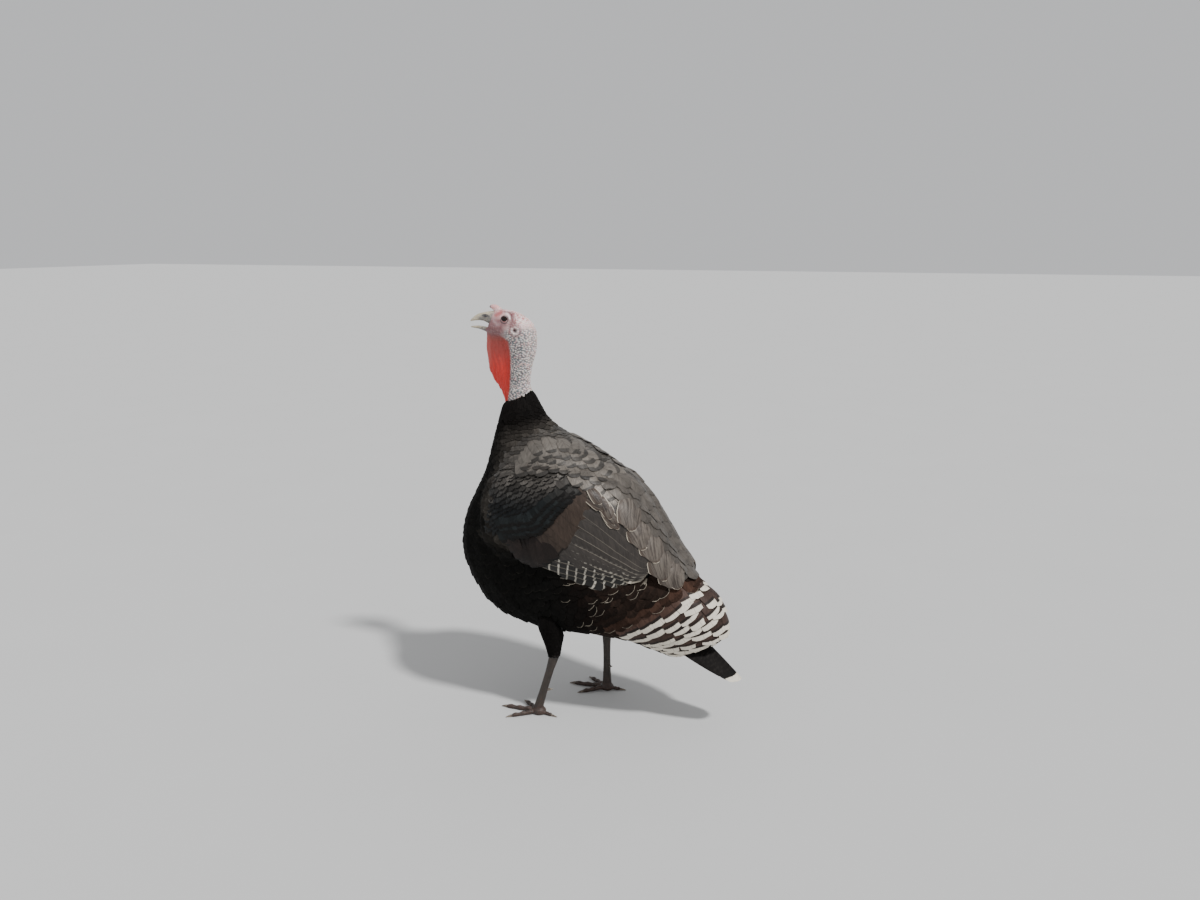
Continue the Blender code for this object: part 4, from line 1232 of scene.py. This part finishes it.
def pathAway(forward, up, points):  # distance from a line of points seen from the side
    aways = []
    for start, end in zip(np.array(points)[:-1], np.array(points)[1:]):
        way = end - start
        share = np.clip(((forward - start[0]) * way[0] + (up - start[1]) * way[1]) / (way @ way), 0, 1)
        aways.append(np.hypot(forward - start[0] - share * way[0], up - start[1] - share * way[1]))
    return np.min(aways, axis=0)


def onEdge(up, points):  # how far forward an edge line is at a height
    line = np.array(points)[::-1]
    return np.interp(up, line[:, 1], line[:, 0])


# lines on the head seen from the side: (forward, up)
brow = [(0.1745, 0.9272), (0.1700, 0.9252), (0.1668, 0.9212), (0.1658, 0.9175)]
crease = [(0.1800, 0.9320), (0.1710, 0.9312), (0.1640, 0.9262), (0.1628, 0.9170)]
streak = [(0.1630, 0.9260), (0.1600, 0.9150), (0.1600, 0.9050), (0.1575, 0.8990)]
flush, gape = [(0.198, 0.925), (0.187, 0.931)], [(0.206, 0.916), (0.194, 0.905)]
ear = {"forward": 0.1540, "up": 0.8910, "rim": 0.0066}
wattleFront = [(0.2240, 0.884), (0.2240, 0.822), (0.2190, 0.787), (0.2020, 0.760), (0.1880, 0.716)]
wattleBack = [(0.1930, 0.884), (0.1700, 0.866), (0.1660, 0.830), (0.1680, 0.790), (0.1700, 0.760),
              (0.1750, 0.716)]


def headParts(local):  # what sculpting and painting both need to know of each place
    side, forward, up = np.abs(local[:, 0]), local[:, 1], local[:, 2]
    return {"beside": smoothStep(0.004, 0.012, side),
            "fromEye": np.hypot(forward - eye["forward"], up - eye["up"]),
            "fromEar": np.hypot(forward - ear["forward"], up - ear["up"]),
            # 1 inside the red throat seen from the side, 0 on the neck behind it
            "red": (smoothStep(-0.004, 0.005, forward - onEdge(up, wattleBack))
                    * (1 - smoothStep(0.872, 0.889, up))),
            "snood": smoothStep(0.9372, 0.9400, up) * smoothStep(0.190, 0.196, forward)}


def sculptHead(piece):
    places, normals = pointsOf(piece.data), normalsOf(piece.data)
    local = toLocal(places)
    forward, up = local[:, 1], local[:, 2]
    beside, fromEye, fromEar, red, snood = headParts(local).values()
    onNeck = smoothStep(0.69, 0.71, up)
    bare = onNeck * (1 - red)
    rough = bare * smoothStep(0.935, 0.900, up) * smoothStep(0.185, 0.160, forward + 0.35 * (up - 0.90))
    crown = bare * smoothStep(0.915, 0.93, up) * smoothStep(0.185, 0.165, forward)
    coarse, fine = bumps(local, 0.0052, 3, 1.6), bumps(local, 0.0034, 5, 1.3)
    lift = 0.0015 * coarse * rough + 0.0006 * fine * (rough * 0.6 + crown)
    clear = smoothStep(0.0090, 0.0125, fromEye)  # the cheek's grain stops at the lids
    lift += 0.00035 * fine * bare * (1 - rough) * smoothStep(0.93, 0.915, up) * clear
    lift += beside * 0.0017 * hill(pathAway(forward, up, brow), 0.0026) * smoothStep(0.0080, 0.0100, fromEye)
    lift -= beside * 0.0012 * hill(pathAway(forward, up, crease), 0.0016)
    lift += beside * 0.0016 * hill(fromEar - ear["rim"], 0.0016)
    lift -= beside * 0.0020 * hill(fromEar, 0.0036)
    lift += beside * 0.0007 * hill(fromEar - 0.0100, 0.0022)
    # the throat: soft folds that hang down the wattle, finer wrinkles towards its top
    folds = np.sin(2 * np.pi * (forward * 105 + 0.5 * waves(local, 0.05, 11))) * 0.5 + 0.5
    wrinkles = waves(local * np.array([1, 1, 0.35]), 0.006, 13)
    lift += red * smoothStep(0.874, 0.850, up) * (0.0010 * folds + 0.00035 * wrinkles)
    lift += red * smoothStep(0.845, 0.866, up) * 0.0005 * waves(local * np.array([1, 0.5, 1.6]), 0.005, 17)
    lift += snood * 0.0005 * waves(local, 0.004, 19)
    setPoints(piece.data, places + normals * (lift * onNeck)[:, None])
    setValues(piece.data, "bumpTop", np.maximum(coarse * rough, fine * crown * 0.7))


def headTones(local, coarse):  # the linear colour of the bare head and neck by place
    side, forward, up = np.abs(local[:, 0]), local[:, 1], local[:, 2]
    beside, fromEye, fromEar, red, snood = headParts(local).values()
    wander, finer = waves(local, 0.012, 23), waves(local, 0.006, 27)
    back = smoothStep(0.186, 0.158, forward + 0.35 * (up - 0.90) + 0.002 * wander)
    neck = smoothStep(0.902, 0.886, up + 0.003 * wander) * back
    litNape = smoothStep(0.140, 0.124, forward + 0.0015 * wander) * (1 - beside * 0.25)
    crown = (1 - neck) * smoothStep(0.172, 0.160, forward) * smoothStep(0.896, 0.910, up)
    lowFront = smoothStep(-0.006, 0.006, (forward - ear["forward"]) - (up - ear["up"]))
    deep = smoothStep(0.865, 0.790, up + 0.004 * wander)
    front = smoothStep(0.0, 0.010, forward - onEdge(up, wattleFront) + 0.014)
    warm = smoothStep(0.1, 0.8, waves(local, 0.010, 29))
    mouth = hill(np.hypot(forward - 0.2215, up - 0.8990), 0.008)
    return washed(len(local), (0.76, 0.58, 0.56), [
        # face and cheek
        (smoothStep(0.926, 0.912, up) * (1 - back), (0.21, 0.105, 0.110)),
        (0.6 * smoothStep(0.2, 0.9, finer) * (1 - back), (0.34, 0.205, 0.205)),
        (hill(pathAway(forward, up, flush), 0.0070), (0.40, 0.13, 0.13)),
        (0.6 * hill(pathAway(forward, up, gape), 0.005), (0.42, 0.31, 0.32)),
        # neck: grey-blue ground, pale bumps, some of them pink
        (neck, (0.135, 0.155, 0.165)),
        (0.5 * neck * smoothStep(0.0, 0.8, finer), (0.26, 0.24, 0.25)),
        # painted light: the nape and the bumps on it are paler where sunlight falls on the back of the neck
        (0.42 * litNape * smoothStep(0.70, 0.72, up), (0.62, 0.55, 0.52)),
        (neck * smoothStep(0.10, 0.85, coarse) * (0.75 + 0.25 * litNape), (0.80, 0.75, 0.71)),
        (0.6 * neck * coarse * warm, (0.62, 0.30, 0.29)),
        # crown, and the lines behind the eye
        (0.6 * crown, (0.90, 0.80, 0.77)),
        (crown * (1 - smoothStep(0.1, 0.6, coarse)) * smoothStep(-0.6, 0.6, finer), (0.50, 0.20, 0.20)),
        (beside * 0.9 * hill(pathAway(forward, up, streak), 0.0088 + 0.0022 * finer), (0.17, 0.050, 0.056)),
        # painted shade: the crease above and behind the eye, sunk into the skin, is also painted dark
        (beside * 0.8 * hill(pathAway(forward, up, crease), 0.0016), (0.11, 0.025, 0.035)),
        (beside * hill(pathAway(forward, up, brow), 0.0024), (0.84, 0.78, 0.76)),
        # ear
        (beside * 0.6 * hill(fromEar - 0.0122, 0.0036), (0.27, 0.15, 0.155)),
        (beside * hill(fromEar - ear["rim"], 0.0026) * (0.45 + 0.55 * lowFront), (0.90, 0.79, 0.76)),
        # painted shade: the ear's shallow hollow is painted nearly black
        (beside * hill(fromEar, 0.0050), (0.05, 0.018, 0.022)),
        # throat, snood, lids' edge and mouth
        (red * smoothStep(0.889, 0.870, up), (0.32, 0.075, 0.062)),
        (red * (0.25 + 0.75 * deep) * smoothStep(0.872, 0.862, up), (0.60, 0.028, 0.018)),
        (0.45 * red * front * smoothStep(0.79, 0.83, up), (0.62, 0.15, 0.13)),
        (snood, (0.72, 0.42, 0.41)),
        (snood * smoothStep(0.2105, 0.2140, forward), (0.22, 0.17, 0.18)),
        (hill(fromEye - 0.0084, 0.0013) * beside, (0.05, 0.04, 0.045)),
        (mouth * smoothStep(0.012, 0.007, side), (0.38, 0.10, 0.10)),
    ])


def bodyTones(places):  # the plumage's colour by place, for the skin beneath it, darker in the wings' shade
    ring, angle = nearestOnGrid(places)
    weights = bodyWeights(places, ring / (body["rings"] - 1), angle / body["angles"])
    clear = np.array([wingTree.find_nearest(Vector(place))[3] > skin["wingReach"] for place in places])
    # painted shade: the skin under the plumage is 0.6 of the feathers' colour, and darker still in the wings'
    # shade
    return mixed(weights, "ground") * skin["underShade"] * np.where(clear, 1, skin["wingShade"])[:, None]


def makeSkin():
    head = copyOfNodes("skin", headNodes, 0.0004)
    joinInto(head, [plugBetween(at(*neckPlug["top"]), at(*neckPlug["foot"]), neckPlug["radius"])])
    remesh(head, skin["headGrain"], 9)
    for turn in sides.values():
        combine(head, ballAt("socket", eyePlace(turn), eye["radius"] + eye["socketGap"]), "DIFFERENCE")
        combine(head, lidRing(turn), "UNION")
    print("stage: head", len(head.data.vertices))
    sculptHead(head)
    legs = copyOfNodes("legs", legNodes, 0.0003)
    plugs = []
    for side in sides:
        line, knuckle = thighLine(side)
        middle = Vector(knuckle) + Vector((0, 0, hock["rise"]))
        plugs.append(ballAt("hock", middle, hock["radius"], hock["scale"], 32))
        plugs.append(plugBetween(Vector(line[2]), middle, hock["plug"]))
    joinInto(legs, plugs)
    remesh(legs, skin["legGrain"], 5)
    flesh = insetBody()
    combine(flesh, head, "UNION")
    combine(flesh, legs, "UNION")
    flesh.name = flesh.data.name = "skin"
    return flesh


def legRun(places):  # distance along each leg and toe from the hock
    run = np.zeros(len(places))
    for side, turn in sides.items():
        ankle = pointsOf(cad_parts[f"foot_{side}"].data).mean(axis=0)
        flat = np.hypot(places[:, 0] - ankle[0], places[:, 1] - ankle[1])
        onToe = smoothStep(0.034, 0.022, places[:, 2]) * smoothStep(0.008, 0.016, flat)
        along = (0.16 - places[:, 2]) * (1 - onToe) + (0.14 + flat) * onToe
        run = np.where(places[:, 0] * turn > 0, along, run)
    return run


def paintSkin(piece):
    places, up = pointsOf(piece.data), pointsOf(piece.data)[:, 2]
    coarse = readAll(piece.data.attributes["bumpTop"].data, "value", 1)[:, 0]
    feathered, leg = smoothStep(0.710, 0.690, up)[:, None], smoothStep(0.175, 0.160, up)[:, None]
    bare, under = np.zeros((len(places), 3)), np.zeros((len(places), 3))
    isHead, isBody = up > 0.685, (up < 0.712) & (up > 0.155)
    bare[isHead] = headTones(toLocal(places[isHead]), coarse[isHead])
    under[isBody] = bodyTones(places[isBody])
    wander, toes = waves(places, 0.02, 31)[:, None], smoothStep(0.040, 0.015, up)[:, None]
    scaly = between([skin["hornGround"]], 0, toes) * (1 + 0.25 * wander)
    scaly += between(0, [skin["toeGround"]], toes) * (1 + 0.2 * wander)
    tone = between(between(bare, under, feathered), scaly, leg)
    setTones(piece.data, "skinTone", tone.clip(0, 1), leg)
    run, normals = legRun(places), normalsOf(piece.data)
    setValues(piece.data, "legRun", run)
    groove = 1 - np.abs((run / skin["scute"]) % 1 - 0.5) * 2
    facing = smoothStep(0.1, 0.5, -normals[:, 1]) * (up > 0.03)
    depth = 0.0004 * leg[:, 0] * facing * smoothStep(0.35, 0.0, groove)
    setPoints(piece.data, places - normals * depth[:, None])


def skinMaterial():
    nodes = Nodes("skin")
    ramp, mix, times, plus = nodes.ramp, nodes.mix, nodes.times, nodes.plus
    spot, leg = nodes.place(), nodes.attribute("skinTone", "Alpha")
    grainy = nodes.noise(spot, 420.0, 4.0, 0.6)
    blotch = nodes.noise(spot, 95.0, 3.0, 0.55)
    veins = nodes.noise(nodes.stretch(spot, (1.0, 1.0, 0.45)), 260.0, 4.0, 0.65)
    shade = mix(ramp(blotch, 0.35, 0.7, 0.0, 0.35), nodes.attribute("skinTone"), (1.0, 0.78, 0.76, 1),
                "MULTIPLY")
    shade = mix(ramp(veins, 0.45, 0.75, 0.0, 0.45), shade, (0.70, 0.40, 0.40, 1), "MULTIPLY")
    shade = mix(ramp(grainy, 0.45, 0.75, 0.0, 0.35), shade, (1.5, 1.4, 1.4, 1), "MULTIPLY")
    # scutes down the front of the shanks and along the toes
    run = nodes.maths("DIVIDE", nodes.attribute("legRun", "Fac"), skin["scute"])
    plates = ramp(nodes.maths("PINGPONG", plus(run, times(blotch, 0.25)), 0.5), 0.0, 0.10)
    small = nodes.cells(nodes.stretch(spot, (1.0, 1.0, 0.7)), 330.0, "DISTANCE_TO_EDGE")
    scales = times(plates, ramp(small, 0.0, 0.12, 0.55, 1.0))
    dark = times(nodes.maths("SUBTRACT", 1.0, scales), leg)
    shade = mix(times(dark, 0.75), shade, (0.016, 0.011, 0.009, 1))
    soft = times(plus(times(nodes.cells(spot, 700.0), 0.5), grainy), nodes.maths("SUBTRACT", 1.0, leg))
    nodes.bump(plus(soft, times(scales, times(leg, 1.2))), 0.5, 0.0006)
    return nodes.set(Base_Color=shade, Roughness=ramp(grainy, 0.3, 0.7, 0.42, 0.58), Subsurface_Weight=0.12,
                     Subsurface_Scale=0.003, Specular_IOR_Level=0.45)


skinPiece = makeSkin()
paintSkin(skinPiece)
skinPiece.data.shade_smooth()
finishPiece(skinPiece, skinMaterial(), trunkNodes + thighNodes + headNodes + legNodes)
triangles = sum(len(face.vertices) - 2 for face in skinPiece.data.polygons)
print("stage: skin", len(skinPiece.data.vertices), triangles)

# bill, claws and spurs
horn = {"roughness": 0.38, "billGrain": 0.0006, "clawGrain": 0.0005, "swell": 0.0002,
        "streak": (0.10, 0.08, 0.07, 1), "blotch": (0.75, 0.66, 0.50, 1)}
# edges of the bill's halves seen from the side: forwards, ups
billRidge = [0.198, 0.2135, 0.229, 0.244, 0.255, 0.261], [0.934, 0.9325, 0.930, 0.926, 0.918, 0.9115]
upperEdge = [0.198, 0.2135, 0.227, 0.242, 0.2545], [0.904, 0.905, 0.9125, 0.915, 0.9135]
lowerEdge = [0.198, 0.215, 0.23, 0.244, 0.26], [0.896, 0.8955, 0.898, 0.8997, 0.8982]


def hornMaterial():
    nodes = Nodes("horn")
    spot, rough = nodes.place(), horn["roughness"]
    streaky = nodes.noise(nodes.stretch(spot, (1.0, 0.22, 1.0)), 900.0, 4.0, 0.6)
    blotch = nodes.noise(spot, 220.0, 3.0, 0.6)
    shade = nodes.mix(nodes.ramp(streaky, 0.35, 0.7, 0.0, 0.45), nodes.attribute("hornTone"), horn["streak"])
    shade = nodes.mix(nodes.ramp(blotch, 0.4, 0.7, 0.0, 0.25), shade, horn["blotch"])
    nodes.bump(nodes.plus(streaky, nodes.times(blotch, 0.5)), 0.4, 0.0004)
    return nodes.set(Base_Color=shade, Roughness=nodes.ramp(streaky, 0.3, 0.7, rough, rough + 0.18),
                     Subsurface_Weight=0.05, Subsurface_Scale=0.002)


hornFinish = hornMaterial()


def finishHorn(piece, places, tones, node):
    setPoints(piece.data, places)
    setTones(piece.data, "hornTone", tones.clip(0, 1))
    piece.data.shade_smooth()
    finishPiece(piece, hornFinish, [node])


def startHorn(name, node, grain, smoothing):
    piece = copyOfNodes(name, [node], horn["swell"])
    remesh(piece, grain, smoothing)
    return piece, pointsOf(piece.data)


def upperBill():
    piece, places = startHorn("beak_upper", "bill_upper", horn["billGrain"], 7)
    _, forward, up = seenBeside(places)
    wander = waves(toLocal(places), 0.008, 41)
    nostril = np.hypot((forward - 0.2235) / 0.0085, (up - 0.9225 - 0.15 * (forward - 0.2235)) / 0.0036)
    slit = np.hypot((forward - 0.2255) / 0.0042, (up - 0.9212) / 0.0011)
    tones = washed(len(places), (0.22, 0.21, 0.19), [
        (smoothStep(0.0085, 0.003, np.interp(forward, *billRidge) - up + 0.001 * wander), (0.50, 0.44, 0.31)),
        (smoothStep(0.236, 0.250, forward + 0.002 * wander), (0.58, 0.51, 0.37)),
        (smoothStep(1.35, 0.75, nostril), (0.055, 0.058, 0.066)),
        # painted shade: the nostril's sunken slit is painted nearly black
        (smoothStep(1.2, 0.7, slit), (0.015, 0.012, 0.012)),
        (0.5 * smoothStep(0.214, 0.206, forward), (0.42, 0.30, 0.30))])
    lift = 0.0005 * hill(nostril - 1.1, 0.35) - 0.0011 * smoothStep(1.3, 0.5, slit)
    lift += 0.00035 * hill(up - np.interp(forward, *upperEdge), 0.0016)
    finishHorn(piece, places + normalsOf(piece.data) * lift[:, None], tones, "bill_upper")


def lowerBill():
    piece, places = startHorn("beak_lower", "bill_lower", horn["billGrain"], 7)
    _, forward, up = seenBeside(places)
    wander = waves(toLocal(places), 0.008, 41)
    tones = washed(len(places), (0.12, 0.115, 0.095), [
        (smoothStep(0.236, 0.252, forward + 0.002 * wander), (0.42, 0.36, 0.26)),
        (0.7 * smoothStep(0.0060, 0.0035, up - 0.8900), (0.16, 0.155, 0.155)),
        (0.7 * hill(up - np.interp(forward, *lowerEdge), 0.0012), (0.50, 0.44, 0.34)),
        (0.6 * smoothStep(0.216, 0.208, forward), (0.40, 0.22, 0.21))])
    lift = -0.0003 * hill(up - 0.8925, 0.001)
    finishHorn(piece, places + normalsOf(piece.data) * lift[:, None], tones, "bill_lower")


def makeClaw(node):
    piece, places = startHorn("horn_" + node, node, horn["clawGrain"], 4)
    tip = smoothStep(0.006, 0.0, places[:, 2])
    tones = washed(len(places), (0.060, 0.045, 0.038), [(tip, (0.16, 0.12, 0.09))])
    finishHorn(piece, places, tones, node)


upperBill()
lowerBill()
for node in [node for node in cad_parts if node.startswith(("claw_", "spur_"))]:
    makeClaw(node)

iris = {"dark": (0.010, 0.005, 0.004, 1), "warm": (0.026, 0.011, 0.007, 1), "edge": (0.012, 0.007, 0.006, 1),
        "pupil": (0.002, 0.002, 0.002, 1), "reach": 0.85, "ahead": 0.18, "above": 0.03}


def eyeMaterial():
    nodes = Nodes("eye")
    away = nodes.attribute("fromPupil", "Fac")
    fibres = nodes.noise(nodes.place(), 2600.0, 3.0, 0.6)
    shade = nodes.mix(nodes.ramp(fibres, 0.35, 0.7), iris["dark"], iris["warm"])
    shade = nodes.mix(nodes.ramp(away, 0.70, 0.86), shade, iris["edge"])
    shade = nodes.mix(nodes.ramp(away, 0.40, 0.46, 1.0, 0.0), shade, iris["pupil"])
    return nodes.set(Base_Color=shade, Roughness=0.04, Specular_IOR_Level=0.22, Coat_Weight=0.15,
                     Coat_Roughness=0.03)


eyeFinish = eyeMaterial()
for side, turn in sides.items():
    piece = ballAt(f"eyeball_{side}", eyePlace(turn), eye["radius"] - eye["inset"], segments=64)
    rays = unit(pointsOf(piece.data) - np.array(eyePlace(turn)))
    towards = rays @ np.array(eyeGaze(turn, iris["ahead"], iris["above"]))
    setValues(piece.data, "fromPupil", np.arccos(np.clip(towards, -1, 1)) / iris["reach"])
    piece.data.shade_smooth()
    finishPiece(piece, eyeFinish, [f"eye_{side}"])
print("stage: bill, claws and eyes")
